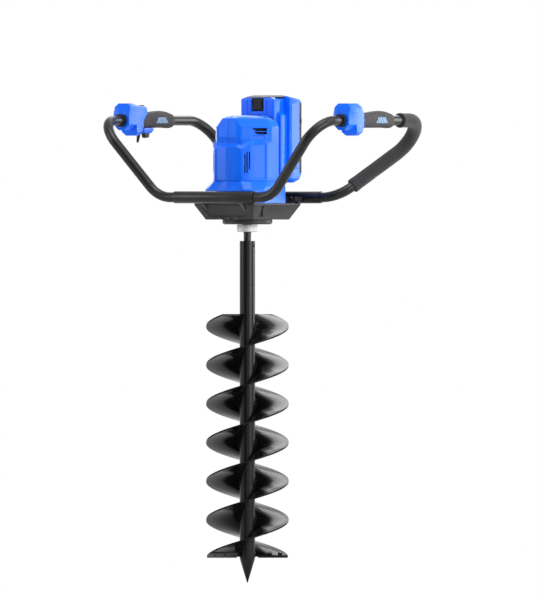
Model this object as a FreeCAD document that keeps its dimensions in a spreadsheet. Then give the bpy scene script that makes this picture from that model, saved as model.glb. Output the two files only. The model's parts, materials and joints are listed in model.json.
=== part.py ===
"""Battery-powered earth and ice auger: powerhead, looped handlebar and a double-flight bit.

Millimetres, +Z up. The origin is on the drive axis at the underside of the gearbox flange.
-Y is the front of the machine; the operator stands behind it, on the battery side (+Y).
"""
import FreeCAD, Part
import math
import os
import Sketcher

Vector = FreeCAD.Vector
Rotation = FreeCAD.Rotation

# ---------------------------------------------------------------- driving sizes
SIZES = [
    # handlebar
    ("tube_od", 25, "handle tube, outer diameter"),
    ("tube_wall", 2, "handle tube, wall"),
    ("tube_gap", 1, "gap between the two tube ends inside a sleeve"),
    ("slip_fit", 0.1, "radial fit of a part that slides over the tube"),
    ("bar_height", 66.7, "height of the front and rear crossbars"),
    ("front_reach", 143, "front crossbar, ahead of the drive axis"),
    ("rear_reach", 149.3, "rear crossbar, behind the drive axis"),
    ("sleeve_half", 118, "half the length of a sleeve"),
    ("sleeve_wall", 2.4, "sleeve, wall"),
    ("sleeve_to_corner", 49, "sleeve end to the corner of the crossbar"),
    ("grip_span", 324.3, "grip bar, sideways from the drive axis"),
    ("grip_height", 255.8, "grip bar, height"),
    ("front_corner", 176.3, "front corner of the grip bar, ahead of the drive axis"),
    ("rear_corner", 373.7, "rear corner of the grip bar, behind the drive axis"),
    ("upper_bend", 64, "bend radius at the grip bar"),
    ("lower_bend", 74, "bend radius at the crossbars"),
    # bolts between the cover's arms and the sleeves
    ("arm_offset", 60, "cover arm, sideways from the drive axis"),
    ("arm_width", 26, "cover arm, width"),
    ("arm_rise", 16, "cover arm, height above the cover"),
    ("bolt_radius", 3.5, "sleeve bolt, shank radius"),
    ("bolt_head_radius", 6, "sleeve bolt, head radius"),
    ("bolt_head_depth", 5, "sleeve bolt, head depth"),
    ("bolt_drop", 4.7, "sleeve bolt, below the axis of the crossbar"),
    ("hole_play", 0.15, "radial play of a bolt hole"),
    # foam pad and grips
    ("foam_start", 188, "foam pad, front end on the grip bar"),
    ("foam_thick", 5, "foam pad, thickness"),
    ("foam_end_gap", 3, "foam pad, rear end to the lower bend"),
    ("grip_end", 140, "grips, rear end along the bar"),
    ("grip_half_width", 18, "grips, half width"),
    ("grip_rise", 22.9, "grips, hump above the axis of the bar"),
    ("grip_neck", 16.5, "grips, neck above the axis of the bar"),
    ("grip_drop", 18.3, "grips, below the axis of the bar"),
    ("grip_bevel", 9, "grips, bevel along the edges"),
    ("insert_start", 57, "grip insert, front end along the bar"),
    ("insert_length", 52, "grip insert, length"),
    ("insert_height", 15, "grip insert, height"),
    ("insert_depth", 2, "grip insert, depth let into the grip"),
    ("insert_proud", 0.6, "grip insert, height above the grip"),
    # guard on one grip, control housing on the other
    ("guard_half_width", 23, "guard, half width"),
    ("guard_front", 68, "guard, front of its body ahead of the drive axis"),
    ("guard_snout", 11, "guard, snout round the bar, ahead of the body"),
    ("guard_length", 64, "guard, length along the bar"),
    ("control_length", 78, "control housing, length along the bar"),
    ("control_undercut", 16, "control housing, how far its rear slopes forward to the grip"),
    ("guard_top", 42, "guard, top above the axis of the bar"),
    ("guard_lobe", 37.5, "guard, lobe below the axis of the bar"),
    ("guard_chin", 24, "guard, chin below the axis of the bar"),
    ("guard_bevel", 10, "guard, bevel along the edges"),
    ("chin_bevel", 15, "guard, bevel under the snout"),
    ("lobe_start", 30, "guard, lobe behind the front of the body"),
    ("shell_wall", 2.6, "moulded shells, wall"),
    ("shell_gap", 0.1, "gap where two shells meet"),
    ("shell_screw", 1.5, "shell screws, shank radius"),
    ("grommet_radius", 16, "tube grommet, outer radius"),
    ("grommet_length", 8, "tube grommet, length"),
    ("grommet_proud", 2.5, "tube grommet, ahead of the guard"),
    ("part_gap", 0.4, "gap round a part that moves"),
    ("seat_gap", 0.05, "gap between parts that rest on each other"),
    # trigger, lock button and direction lever
    ("trigger_box_end", 58, "trigger housing, rear end along the bar"),
    ("trigger_box_half", 13, "trigger housing, half width"),
    ("trigger_box_depth", 13, "trigger housing, depth below the grip"),
    ("trigger_half", 5.5, "trigger, half width"),
    ("trigger_pivot_y", 21.5, "trigger pivot along the bar"),
    ("trigger_pivot_drop", 9, "trigger pivot below the grip"),
    ("trigger_hub", 4, "trigger, hub radius"),
    ("trigger_reach", 24, "trigger, hub to its end"),
    ("trigger_drop", 16, "trigger, finger face below its pivot"),
    ("trigger_pin_radius", 1.5, "trigger pin, radius"),
    ("pin_play", 0.05, "radial play of a pivot"),
    ("spring_radius", 2.6, "trigger spring, coil radius"),
    ("spring_wire", 0.4, "trigger spring, wire radius"),
    ("button_offset", 15, "lock button, sideways from the bar"),
    ("button_y", -4, "lock button along the bar"),
    ("button_half_width", 4, "lock button, half width"),
    ("button_half_length", 7, "lock button, half length"),
    ("button_proud", 3.2, "lock button, above the housing"),
    ("button_depth", 14, "lock button, height"),
    ("lever_offset", 0, "direction lever pivot, sideways from the bar"),
    ("lever_y", 6.5, "direction lever pivot along the bar"),
    ("lever_drop", 10, "direction lever pivot below the grip"),
    ("lever_thick", 5, "direction lever, thickness"),
    ("lever_hub", 5, "direction lever, hub radius"),
    ("lever_length", 27, "direction lever, pivot to tip"),
    ("lever_trunnion", 2, "direction lever, trunnion radius"),
    ("lever_lean", 10, "direction lever, angle to the vertical"),
    # gearbox
    ("flange_thick", 11.8, "flange, thickness"),
    ("flange_radius", 61.5, "flange, radius"),
    ("flange_bevel", 3.8, "flange, bevel at its lower rim"),
    ("flange_pcd", 104, "flange, bolt circle"),
    ("flange_hole", 3.3, "flange, free tapped holes, radius"),
    ("screw_radius", 2.5, "small screws, shank radius"),
    ("screw_head", 4.5, "small screws, head radius"),
    ("screw_head_depth", 3.5, "small screws, head depth"),
    ("screw_length", 12, "small screws, length below the head"),
    ("cover_screw_x", 14, "cover screws, in from the sides of the housing"),
    ("cover_screw_y", 16, "cover screws, in from the ends of the housing"),
    ("screw_boss", 2.5, "screw bosses, wall round the screw"),
    ("base_top", 48, "gearbox housing, top"),
    ("base_low_x", 70, "gearbox housing, half width at the bottom"),
    ("base_low_y", 80, "gearbox housing, half depth at the bottom"),
    ("base_high_x", 88, "gearbox housing, half width at the top"),
    ("base_high_y", 104, "gearbox housing, half depth at the top"),
    ("base_wall", 4, "gearbox housing, wall"),
    ("cover_thick", 4, "gearbox cover, thickness"),
    ("panel_depth", 1.6, "recessed panels of the gearbox housing, depth"),
    # drive
    ("hub_radius", 25.5, "drive hub, radius"),
    ("hub_length", 18.4, "drive hub, length"),
    ("stub_radius", 9.2, "output spindle below the hub, radius"),
    ("stub_end", 84, "output spindle, lower end below the flange"),
    ("neck_radius", 12, "output spindle through the hub and seal, radius"),
    ("lower_journal", 15, "output spindle, lower journal radius"),
    ("gear_seat", 14, "output spindle, gear seat radius"),
    ("upper_journal", 10, "output spindle, upper journal radius"),
    ("lower_race", 27.5, "lower spindle bearing, outer radius"),
    ("upper_race", 16, "upper spindle bearing, outer radius"),
    ("bearing_width", 13, "lower spindle bearing, width"),
    ("thin_bearing", 5, "small bearings, width"),
    ("running_fit", 0.03, "radial fit of a turning journal"),
    ("press_play", 0.02, "radial fit of a pressed or seated part"),
    ("seal_radius", 22, "shaft seal, outer radius"),
    ("seal_width", 3.4, "shaft seal, width"),
    ("gear_gap", 1.5, "gap between the faces of two gears"),
    ("output_module", 1.75, "output pair, module"),
    ("output_width", 14, "output gear, width"),
    ("input_module", 1, "input pair, module"),
    ("input_width", 9, "input gear, width"),
    ("gear_web", 6, "gears, thickness of the web"),
    ("layshaft_radius", 6, "layshaft, radius"),
    ("layshaft_journal", 5, "layshaft, journal radius"),
    ("lay_race", 9.5, "layshaft bearings, outer radius"),
    # motor
    ("motor_setback", 40, "motor axis, ahead of the drive axis"),
    ("motor_shaft_radius", 4, "motor shaft, radius"),
    ("motor_race", 11, "motor bearings, outer radius"),
    ("motor_radius", 43, "motor can, outer radius"),
    ("motor_can_wall", 3, "motor can, wall"),
    ("motor_pad", 6, "motor pad on the gearbox cover, height"),
    ("can_floor", 4, "motor can, floor"),
    ("stator_length", 42, "stator stack, length"),
    ("stator_inner", 24, "stator stack, inner radius"),
    ("winding_length", 7, "end windings, length"),
    ("air_gap", 0.6, "gap between rotor and stator"),
    ("fan_radius", 36, "cooling fan, radius"),
    ("fan_height", 11, "cooling fan, height"),
    ("end_bell", 5, "motor end bell, thickness"),
    ("controller_height", 26, "motor controller, height"),
    ("controller_half", 34, "motor controller, half width"),
    # motor cover and its skirt
    ("skirt_height", 35, "skirt, straight part"),
    ("flare_height", 20, "skirt, flare up to the motor cover"),
    ("cover_top", 268, "motor cover, top"),
    ("cover_front", 90.5, "motor cover, front face ahead of the drive axis"),
    ("cover_half", 80, "motor cover, half width"),
    ("cover_back", 38, "motor cover, rear face behind the drive axis"),
    ("cover_wall", 3, "motor cover, wall"),
    ("cover_step", 7.5, "motor cover, step between its lower and upper front"),
    ("cover_shoulder", 192, "motor cover, where the lower front ends"),
    ("skirt_front", 97, "skirt, front face ahead of the drive axis"),
    ("skirt_half", 86, "skirt, half width"),
    ("skirt_back", 46, "skirt, rear face behind the drive axis"),
    ("vent_width", 2.2, "vent slots, width"),
    ("vent_pitch", 6.4, "vent slots, pitch"),
    ("vent_length", 52, "front vent slots, length"),
    ("side_vent_length", 31, "side vent slots, length"),
    ("side_vent_height", 4.8, "side vent slots, height"),
    # battery and its dock
    ("battery_front", 45, "battery, front face behind the drive axis"),
    ("battery_step", 91, "battery, where the front case meets the rear case"),
    ("battery_back", 143, "battery, rear face"),
    ("battery_low", 102.6, "battery, bottom"),
    ("battery_rear_top", 316, "battery rear case, top"),
    ("battery_front_top", 312, "battery front case, top"),
    ("front_case_half", 48.5, "battery front case, half width"),
    ("rail_half", 57, "battery side rails, half width"),
    ("rail_front", 62, "battery side rails, front face"),
    ("rail_top", 277, "battery side rails, top"),
    ("rear_case_half", 65, "battery rear case, half width"),
    ("rear_case_slope", 9, "battery rear case, fall of its top towards the rear"),
    ("case_wall", 3, "battery cases, wall"),
    ("case_bevel", 9, "battery cases, bevels"),
    ("cap_half", 45, "battery cap, half width"),
    ("cap_rise", 4, "battery cap, above the rear case"),
    ("latch_half", 17, "battery latch, half width"),
    ("latch_height", 33, "battery latch, height"),
    ("latch_thick", 9, "battery latch, thickness"),
    ("latch_travel", 4, "battery latch, travel"),
    ("dock_stem", 16, "dock rail, half width of the stem"),
    ("dock_head", 24, "dock rail, half width of the head"),
    ("dock_stem_depth", 8, "dock rail, depth of the stem"),
    ("dock_head_depth", 6, "dock rail, depth of the head"),
    ("dock_top", 262, "dock rail, top"),
    ("dock_foot", 9, "dock foot, thickness"),
    ("dock_foot_half", 34, "dock foot, half width"),
    ("dock_foot_back", 88, "dock foot, rear end"),
    ("blade_thick", 1.2, "contact blades, thickness"),
    ("blade_height", 15, "contact blades, height"),
    ("blade_pitch", 14, "contact blades, pitch"),
    ("cell_radius", 10.4, "battery cells, radius"),
    ("cell_length", 58, "battery cells, length"),
    # bit
    ("bit_tube_radius", 19, "bit tube, outer radius"),
    ("bit_tube_wall", 3.5, "bit tube, wall"),
    ("bit_top", 40.8, "bit tube, top below the flange"),
    ("bit_low", 822, "bit tube, bottom below the flange"),
    ("socket_depth", 46, "bit socket, length"),
    ("pin_drop", 52, "cross pin, below the flange"),
    ("cross_pin_radius", 4, "cross pin, radius"),
    ("cross_pin_recess", 1.2, "cross pin, ends set back from the tube"),
    ("point_length", 60, "pilot point, length"),
    ("point_plug", 14, "pilot point, length of the plug in the tube"),
    ("flight_radius", 101.6, "flights, outer radius"),
    ("flight_pitch", 190.4, "flights, pitch"),
    ("flight_thick", 4, "flights, thickness"),
    ("flight_top", 220.4, "flights, upper end below the flange"),
    ("flight_low", 820.4, "flights and blades, lower end below the flange"),
    ("flight_angle", 45, "flights, angle of the first lower end"),
    ("blade_plate", 2.5, "cutting blades, thickness"),
    ("blade_angle", 18, "cutting blades, angle that they cover"),
    ("blade_root", 27, "cutting blades, inner radius"),
    ("blade_bolt", 3, "blade bolts, radius"),
]

OUTPUT_TEETH = 46
OUTPUT_PINION_TEETH = 12
INPUT_TEETH = 60
INPUT_PINION_TEETH = 12
PRESSURE_ANGLE = 25
GEAR_BACKLASH = 0.24
FLANK_POINTS = 4
CELL_ROWS = 5
FAN_BLADES = 11
STATOR_SLOTS = 12
SPRING_TURNS = 6

doc = FreeCAD.newDocument("auger")
sheet = doc.addObject("Spreadsheet::Sheet", "Sizes")
for row, (alias, value, meaning) in enumerate(SIZES, 1):
    sheet.set("A%d" % row, meaning)
    sheet.set("B%d" % row, str(value))
    sheet.setAlias("B%d" % row, alias)
doc.recompute()


class Size:
    """A length that keeps the sheet formula it is worked out by."""

    def __init__(self, value, formula):
        self.value = value
        self.formula = formula

    def __add__(self, other):
        other = size(other)
        return Size(self.value + other.value, "(%s + %s)" % (self.formula, other.formula))

    def __sub__(self, other):
        other = size(other)
        return Size(self.value - other.value, "(%s - %s)" % (self.formula, other.formula))

    def __mul__(self, other):
        other = size(other)
        return Size(self.value * other.value, "(%s * %s)" % (self.formula, other.formula))

    def __truediv__(self, other):
        other = size(other)
        return Size(self.value / other.value, "(%s / %s)" % (self.formula, other.formula))

    def __neg__(self):
        return Size(-self.value, "(0 - %s)" % self.formula)

    def __rsub__(self, other):
        return size(other) - self

    __radd__ = __add__
    __rmul__ = __mul__


def size(number):
    return number if isinstance(number, Size) else Size(float(number), "(%r)" % float(number))


def root(number):
    return Size(math.sqrt(number.value), "sqrt(%s)" % number.formula)


class Sheet:
    """Reads the sheet's cells by their aliases."""

    def __getattr__(self, alias):
        return Size(float(sheet.get(alias)), "Sizes." + alias)


d = Sheet()


# ---------------------------------------------------------------- building blocks
def tie(thing, prop, number):
    thing.setExpression(prop, size(number).formula)


def put(thing, x, y, z):
    tie(thing, "Placement.Base.x", x)
    tie(thing, "Placement.Base.y", y)
    tie(thing, "Placement.Base.z", z)
    return thing


TURNS = {"Z": Rotation(), "X": Rotation(Vector(0, 1, 0), 90), "Y": Rotation(Vector(1, 0, 0), -90)}


def box(name, low, high):
    thing = doc.addObject("Part::Box", name)
    for prop, first, last in zip(("Length", "Width", "Height"), low, high):
        tie(thing, prop, size(last) - first)
    return put(thing, *low)


def rod(name, radius, low, high, centre=(0, 0), axis="Z"):
    """A cylinder from low to high along an axis; centre gives its other two coordinates."""
    thing = doc.addObject("Part::Cylinder", name)
    tie(thing, "Radius", radius)
    tie(thing, "Height", size(high) - low)
    thing.Placement = FreeCAD.Placement(Vector(), TURNS[axis])
    first, second = centre
    return put(thing,
               *{"Z": (first, second, low), "X": (low, first, second), "Y": (first, low, second)}[axis])


def frustum(name, low, high, lowHalf, highHalf):
    """A solid between two rectangles centred on the drive axis."""
    thing = doc.addObject("Part::Wedge", name)
    limits = {"Xmin": -size(lowHalf[0]), "Xmax": lowHalf[0], "Zmin": -size(lowHalf[1]), "Zmax": lowHalf[1],
              "X2min": -size(highHalf[0]), "X2max": highHalf[0], "Z2min": -size(highHalf[1]),
              "Z2max": highHalf[1], "Ymin": low, "Ymax": high}
    for prop, number in limits.items():
        tie(thing, prop, number)
    thing.Placement = FreeCAD.Placement(Vector(), Rotation(Vector(1, 0, 0), 90))
    return thing


def outlineSketch(body, plane, outline, offset=0):
    """A closed outline of straight edges, every corner of which is tied to the sheet."""
    sketch = body.newObject("Sketcher::SketchObject", body.Name + "_outline")
    origin = [item for item in body.Origin.OriginFeatures if item.Role == plane + "_Plane"][0]
    sketch.AttachmentSupport = [(origin, "")]
    sketch.MapMode = "FlatFace"
    tie(sketch, "AttachmentOffset.Base.z", offset)
    corners = [(size(across), size(up)) for across, up in outline]
    count = len(corners)
    for index in range(count):
        start, end = corners[index], corners[(index + 1) % count]
        line = Part.LineSegment(Vector(start[0].value, start[1].value, 0),
                                Vector(end[0].value, end[1].value, 0))
        sketch.addGeometry(line, False)
    for index, corner in enumerate(corners):
        sketch.addConstraint(Sketcher.Constraint("Coincident", index, 2, (index + 1) % count, 1))
        for kind, number in zip(("DistanceX", "DistanceY"), corner):
            place = sketch.addConstraint(Sketcher.Constraint(kind, -1, 1, index, 1, number.value))
            sketch.setExpression("Constraints[%d]" % place, number.formula)
    return sketch


def prism(name, plane, outline, low, high):
    """An outline drawn in a plane and padded from low to high along the plane's normal axis."""
    body = doc.addObject("PartDesign::Body", name)
    offset = -size(high) if plane == "XZ" else low
    sketch = outlineSketch(body, plane, outline, offset)
    pad = body.newObject("PartDesign::Pad", name + "_pad")
    pad.Profile = sketch
    tie(pad, "Length", size(high) - low)
    return body


def turned(name, profile, centre=(0, 0)):
    """A profile of radius and height, revolved about a vertical axis."""
    body = doc.addObject("PartDesign::Body", name)
    sketch = outlineSketch(body, "XZ", profile)
    revolution = body.newObject("PartDesign::Revolution", name + "_turn")
    revolution.Profile = sketch
    revolution.ReferenceAxis = (sketch, ["V_Axis"])
    revolution.Angle = 360
    return put(body, centre[0], centre[1], 0)


def ring(name, inner, outer, low, high, centre=(0, 0), axis="Z"):
    return cut(name, rod(name + "_outer", outer, low, high, centre, axis),
               rod(name + "_bore", inner, size(low) - 1, size(high) + 1, centre, axis))


def loft(name, levels):
    """A solid through outlines at given heights, with straight edges between them."""
    body = doc.addObject("PartDesign::Body", name)
    sketches = [outlineSketch(body, "XY", outline, height) for height, outline in levels]
    feature = body.newObject("PartDesign::AdditiveLoft", name + "_loft")
    feature.Profile = sketches[0]
    feature.Sections = sketches[1:]
    feature.Ruled = True
    return body


def union(name, *things):
    if len(things) == 1:
        return things[0]
    result = doc.addObject("Part::MultiFuse", name)
    result.Shapes = list(things)
    return result


def common(name, *things):
    result = doc.addObject("Part::MultiCommon", name)
    result.Shapes = list(things)
    return result


def cut(name, base, *tools):
    result = doc.addObject("Part::Cut", name)
    result.Base = base
    result.Tool = union(name + "_tools", *tools)
    return result


def group(name, *things):
    result = doc.addObject("Part::Compound", name)
    result.Links = list(things)
    return result


def mirrored(name, thing):
    """The same piece on the other side of the machine."""
    result = doc.addObject("Part::Mirroring", name)
    result.Source = thing
    result.Base = Vector(0, 0, 0)
    result.Normal = Vector(1, 0, 0)
    return result


def screw(name, seat, length, centre, axis="Z", into=-1, radius=None, head=None, headDepth=None):
    """A socket head screw. Its head lies on seat and its shank runs the way that into says."""
    radius = radius or d.screw_radius
    head = head or d.screw_head
    headDepth = headDepth or d.screw_head_depth
    seat = size(seat)
    shankEnd = seat + length * into
    headEnd = seat - headDepth * into
    socketEnd = headEnd + headDepth * 0.6 * into
    low, high = (shankEnd, seat) if into < 0 else (seat, shankEnd)
    shank = rod(name + "_shank", radius, low, high, centre, axis)
    low, high = (seat, headEnd) if into < 0 else (headEnd, seat)
    cap = rod(name + "_head", head, low, high, centre, axis)
    low, high = (socketEnd, headEnd) if into < 0 else (headEnd, socketEnd)
    socket = doc.addObject("Part::Prism", name + "_socket")
    socket.Polygon = 6
    tie(socket, "Circumradius", head * 0.55)
    tie(socket, "Height", high - low)
    socket.Placement = FreeCAD.Placement(Vector(), TURNS[axis])
    first, second = centre
    put(socket, *{"Z": (first, second, low), "X": (low, first, second), "Y": (first, low, second)}[axis])
    return cut(name, union(name + "_solid", shank, cap), socket)


nodes = {}


def node(name, thing):
    thing.Label = name
    nodes[name] = thing
    return thing


# ---------------------------------------------------------------- handlebar
def cornerArc(before, corner, after, radius):
    """The arc that rounds a corner: its start, its middle and its end."""
    back = (before - corner).normalize()
    ahead = (after - corner).normalize()
    half = back.getAngle(ahead) / 2
    setback = radius / math.tan(half)
    middle = (back + ahead).normalize()
    centre = corner + middle * (radius / math.sin(half))
    return corner + back * setback, centre - middle * radius, corner + ahead * setback


def bentPath(name, corners, radii):
    """A wire of straight runs joined by tangent arcs, one radius for each inner corner."""
    edges = []
    last = corners[0]
    for before, corner, after, radius in zip(corners, corners[1:], corners[2:], radii):
        start, middle, end = cornerArc(before, corner, after, radius)
        edges.append(Part.LineSegment(last, start).toShape())
        edges.append(Part.Arc(start, middle, end).toShape())
        last = end
    edges.append(Part.LineSegment(last, corners[-1]).toShape())
    path = doc.addObject("Part::Feature", name)
    path.Shape = Part.Wire(edges)
    return path


def sweptRod(name, path, radius, start, direction):
    """A round section swept along a path."""
    section = doc.addObject("Part::Circle", name + "_section")
    tie(section, "Radius", radius)
    section.Placement = FreeCAD.Placement(start, Rotation(Vector(0, 0, 1), direction))
    sweep = doc.addObject("Part::Sweep", name)
    sweep.Sections = [section]
    sweep.Spine = (path, ["Edge%d" % (index + 1) for index in range(len(path.Shape.Edges))])
    sweep.Solid = True
    sweep.Frenet = False
    return sweep


barCorner = d.sleeve_half + d.sleeve_to_corner
frontBarY = -d.front_reach
handlePoints = [(d.tube_gap / 2, frontBarY, d.bar_height), (barCorner, frontBarY, d.bar_height),
                (d.grip_span, -d.front_corner, d.grip_height), (d.grip_span, d.rear_corner, d.grip_height),
                (barCorner, d.rear_reach, d.bar_height), (d.tube_gap / 2, d.rear_reach, d.bar_height)]
handleCorners = [Vector(*[number.value for number in point]) for point in handlePoints]
handleBends = [d.lower_bend.value, d.upper_bend.value, d.upper_bend.value, d.lower_bend.value]

tubeRadius = d.tube_od / 2
sleeveInner = tubeRadius + d.slip_fit
sleeveOuter = sleeveInner + d.sleeve_wall
boltHeight = d.bar_height - d.bolt_drop
armEdgeFront = d.base_high_y
armEdgeRear = d.base_high_y


def boltHoles(name):
    """The four holes for the sleeve bolts, right through the crossbars' inner walls."""
    holes = []
    for side in (-1, 1):
        holes.append(rod("%s_hole_front_%d" % (name, side + 1), d.bolt_radius + d.hole_play, frontBarY + 2,
                         -armEdgeFront + 1, (d.arm_offset * side, boltHeight), "Y"))
        holes.append(rod("%s_hole_rear_%d" % (name, side + 1), d.bolt_radius + d.hole_play, armEdgeRear - 1,
                         d.rear_reach - 2, (d.arm_offset * side, boltHeight), "Y"))
    return holes


def handleTube():
    path = bentPath("handle_path", handleCorners, handleBends)
    start = handleCorners[0]
    outer = sweptRod("handle_outer", path, tubeRadius, start, Vector(1, 0, 0))
    inner = sweptRod("handle_inner", path, tubeRadius - d.tube_wall, start, Vector(1, 0, 0))
    right = cut("handle_tube_right_cut", cut("handle_hollow", outer, inner), *boltHoles("tube"))
    node("handle_tube_right", right)
    node("handle_tube_left", mirrored("handle_tube_left_copy", right))


def sleeves():
    for name, reach in (("front_sleeve", frontBarY), ("rear_sleeve", d.rear_reach)):
        pipe = ring(name + "_pipe", sleeveInner, sleeveOuter, -d.sleeve_half, d.sleeve_half,
                    (reach, d.bar_height), "X")
        node(name, cut(name + "_cut", pipe, *boltHoles(name)))


def sleeveBolts():
    bolts = []
    reach = d.front_reach - armEdgeFront - 3
    for side in (-1, 1):
        bolts.append(screw("front_bolt_%d" % (side + 1), -armEdgeFront + d.seat_gap, reach,
                           (d.arm_offset * side, boltHeight), "Y", -1, d.bolt_radius, d.bolt_head_radius,
                           d.bolt_head_depth))
        bolts.append(screw("rear_bolt_%d" % (side + 1), armEdgeRear - d.seat_gap,
                           d.rear_reach - armEdgeRear - 3, (d.arm_offset * side, boltHeight), "Y", 1,
                           d.bolt_radius, d.bolt_head_radius, d.bolt_head_depth))
    node("sleeve_bolts", group("sleeve_bolts_all", *bolts))


def foamPad():
    """A foam tube on one side, round the rear bend of the grip bar."""
    corner, after = handleCorners[3], handleCorners[4]
    lowerStart = cornerArc(corner, after, handleCorners[5], d.lower_bend.value)[0]
    along = (after - corner).normalize()
    end = lowerStart - along * d.foam_end_gap.value
    start = Vector(corner.x, d.foam_start.value, corner.z)
    path = bentPath("foam_path", [start, corner, end], [d.upper_bend.value])
    outer = sweptRod("foam_outer", path, sleeveInner + d.foam_thick, start, Vector(0, 1, 0))
    inner = sweptRod("foam_inner", path, sleeveInner, start, Vector(0, 1, 0))
    node("foam_pad", cut("foam_pad_cut", outer, inner))


# ---------------------------------------------------------------- grips and their shells
def onBar(points):
    """Turns (along, above the bar's axis) pairs into YZ corners."""
    return [(along, d.grip_height + above) for along, above in points]


def acrossBar(half, top, low, bevel, lowBevel, x):
    """An eight-sided section across the bar, in XZ."""
    high, base = d.grip_height + top, d.grip_height - low
    return [(x - half, base + lowBevel), (x - half + lowBevel, base), (x + half - lowBevel, base),
            (x + half, base + lowBevel), (x + half, high - bevel), (x + half - bevel, high),
            (x - half + bevel, high), (x - half, high - bevel)]


def gripRubber(name, side, start, undercut):
    """Rubber grip: a low neck, a hump over the palm and a small stop at the rear.

    Its front end follows the housing ahead of it, which slopes forward by the undercut."""
    x = d.grip_span * side
    end = d.grip_end
    length = end - start
    profile = onBar([(start - undercut, -d.grip_drop), (end - 16, -d.grip_drop),
                     (end - 12, -d.grip_drop - 2.5), (end - 5, -d.grip_drop - 2), (end, -d.grip_neck + 3),
                     (end, d.grip_neck - 4), (end - 9, d.grip_neck),
                     (start + length * 0.66, d.grip_rise - 2.5), (start + length * 0.46, d.grip_rise),
                     (start + length * 0.26, d.grip_rise - 0.7), (start, d.grip_neck + 0.5),
                     (start - undercut, 0)])
    side_view = prism(name + "_side", "YZ", profile, x - d.grip_half_width, x + d.grip_half_width)
    section = prism(
        name + "_section", "XZ",
        acrossBar(d.grip_half_width, d.grip_rise + 0.5, d.grip_drop + 3, d.grip_bevel, d.grip_bevel, x),
        start - undercut - 1, end + 1)
    bar = rod(name + "_bar", sleeveInner, start - undercut - 2, end + 2, (x, d.grip_height), "Y")
    pockets = [insertBlock("%s_pocket_%d" % (name, face + 1), side, face, 0.1) for face in (-1, 1)]
    return node(name, cut(name + "_cut", common(name + "_block", side_view, section), bar, *pockets))


def insertBlock(name, side, face, clearance):
    """The trapezoid that is let into the side of a grip."""
    start = d.insert_start - clearance
    end = d.insert_start + d.insert_length + clearance
    base = -d.insert_height * 0.45 - clearance
    top = d.insert_height * 0.55 + clearance
    slope = d.insert_height * 0.7
    profile = onBar([(start, base), (end, base), (end - slope, top), (start + slope, top)])
    outside = d.grip_span * side + d.grip_half_width * face
    inward = d.insert_depth + clearance
    if face > 0:
        return prism(name, "YZ", profile, outside - inward, outside + d.insert_proud)
    return prism(name, "YZ", profile, outside - d.insert_proud, outside + inward)


def gripInserts():
    blocks = [insertBlock("insert_%d_%d" % (side + 1, face + 1), side, face, 0)
              for side in (-1, 1) for face in (-1, 1)]
    node("grip_inserts", group("grip_inserts_all", *blocks))


def snoutProfile(inset):
    """Side view of the front: a snout round the bar under a front that leans back."""
    front = -d.guard_front
    snout = front - d.guard_snout
    w = inset
    return ([(front + 5, d.guard_top - w), (front - 1 + w, d.guard_top - 13), (snout + w, 15),
             (snout + w, -d.guard_chin + 5)], [(snout + 4 + w, -d.guard_chin + w)])


buttonSlopeHigh = d.guard_top - 4.5
buttonSlopeLow = d.guard_top - 8.5


def guardProfile(length, inset):
    """Side view of a guard's body: it ends in a sloping rear."""
    back = -d.guard_front + length
    w = inset
    before, chin = snoutProfile(w)
    return onBar(before + chin + [(back - 2 - w, -d.guard_chin + w), (back - w, -d.guard_chin + 10),
                                  (back - w, d.guard_top - 27), (back - 16 - w, d.guard_top - w)])


def controlProfile(length, inset):
    """Side view of the control housing's body: its top falls towards the grip, its rear slopes in."""
    front = -d.guard_front
    back = front + length
    low = back - d.control_undercut
    w = inset
    before, chin = snoutProfile(w)
    return onBar(before + chin + [(low - w, -d.guard_chin + w), (low - w, 0), (back - w, 17),
                                  (back - w, d.guard_top - 20), (back - 5 - w, buttonSlopeLow - w),
                                  (front + 36, buttonSlopeHigh - w), (front + 22, d.guard_top - w)])


def lobeProfile(back, inset):
    """Side view of the lobe that hangs under a guard or the control housing."""
    front = -d.guard_front + d.lobe_start
    w = inset
    return onBar([(front + w, -1), (front + 1 + w, -d.guard_chin), (front + 8, -d.guard_lobe + w),
                  (back - 12, -d.guard_lobe + w), (back - 5 - w, -d.guard_chin - 3),
                  (back - w, -d.guard_chin + 9), (back - w, -1)])


def shellScrewSpots():
    """One screw above the bar and one in the lobe below it."""
    front = -d.guard_front
    return [(front + 16, d.grip_height + d.guard_top - 11), (front + 40, d.grip_height - d.guard_lobe + 10)]


def guardBody(name, x, length, profile, lobeBack, inset):
    """The body and its lobe as one solid, drawn in by inset on every side."""
    half = d.guard_half_width - inset
    front = -d.guard_front - d.guard_snout - 1
    back = -d.guard_front + length + 1
    high = d.guard_top + 1 - inset
    body = common(name + "_body", prism(name + "_side", "YZ", profile(length, inset), x - half, x + half),
                  prism(name + "_section", "XZ",
                        acrossBar(half, high, d.guard_chin + 1 - inset, d.guard_bevel, d.chin_bevel, x),
                        front, back))
    lobe = common(name + "_lobe",
                  prism(name + "_lobe_side", "YZ", lobeProfile(lobeBack, inset), x - half, x + half),
                  prism(name + "_lobe_section", "XZ",
                        acrossBar(half, high, d.guard_lobe + 1 - inset, d.guard_bevel, d.guard_bevel, x),
                        front, back))
    return union(name, body, lobe)


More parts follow.
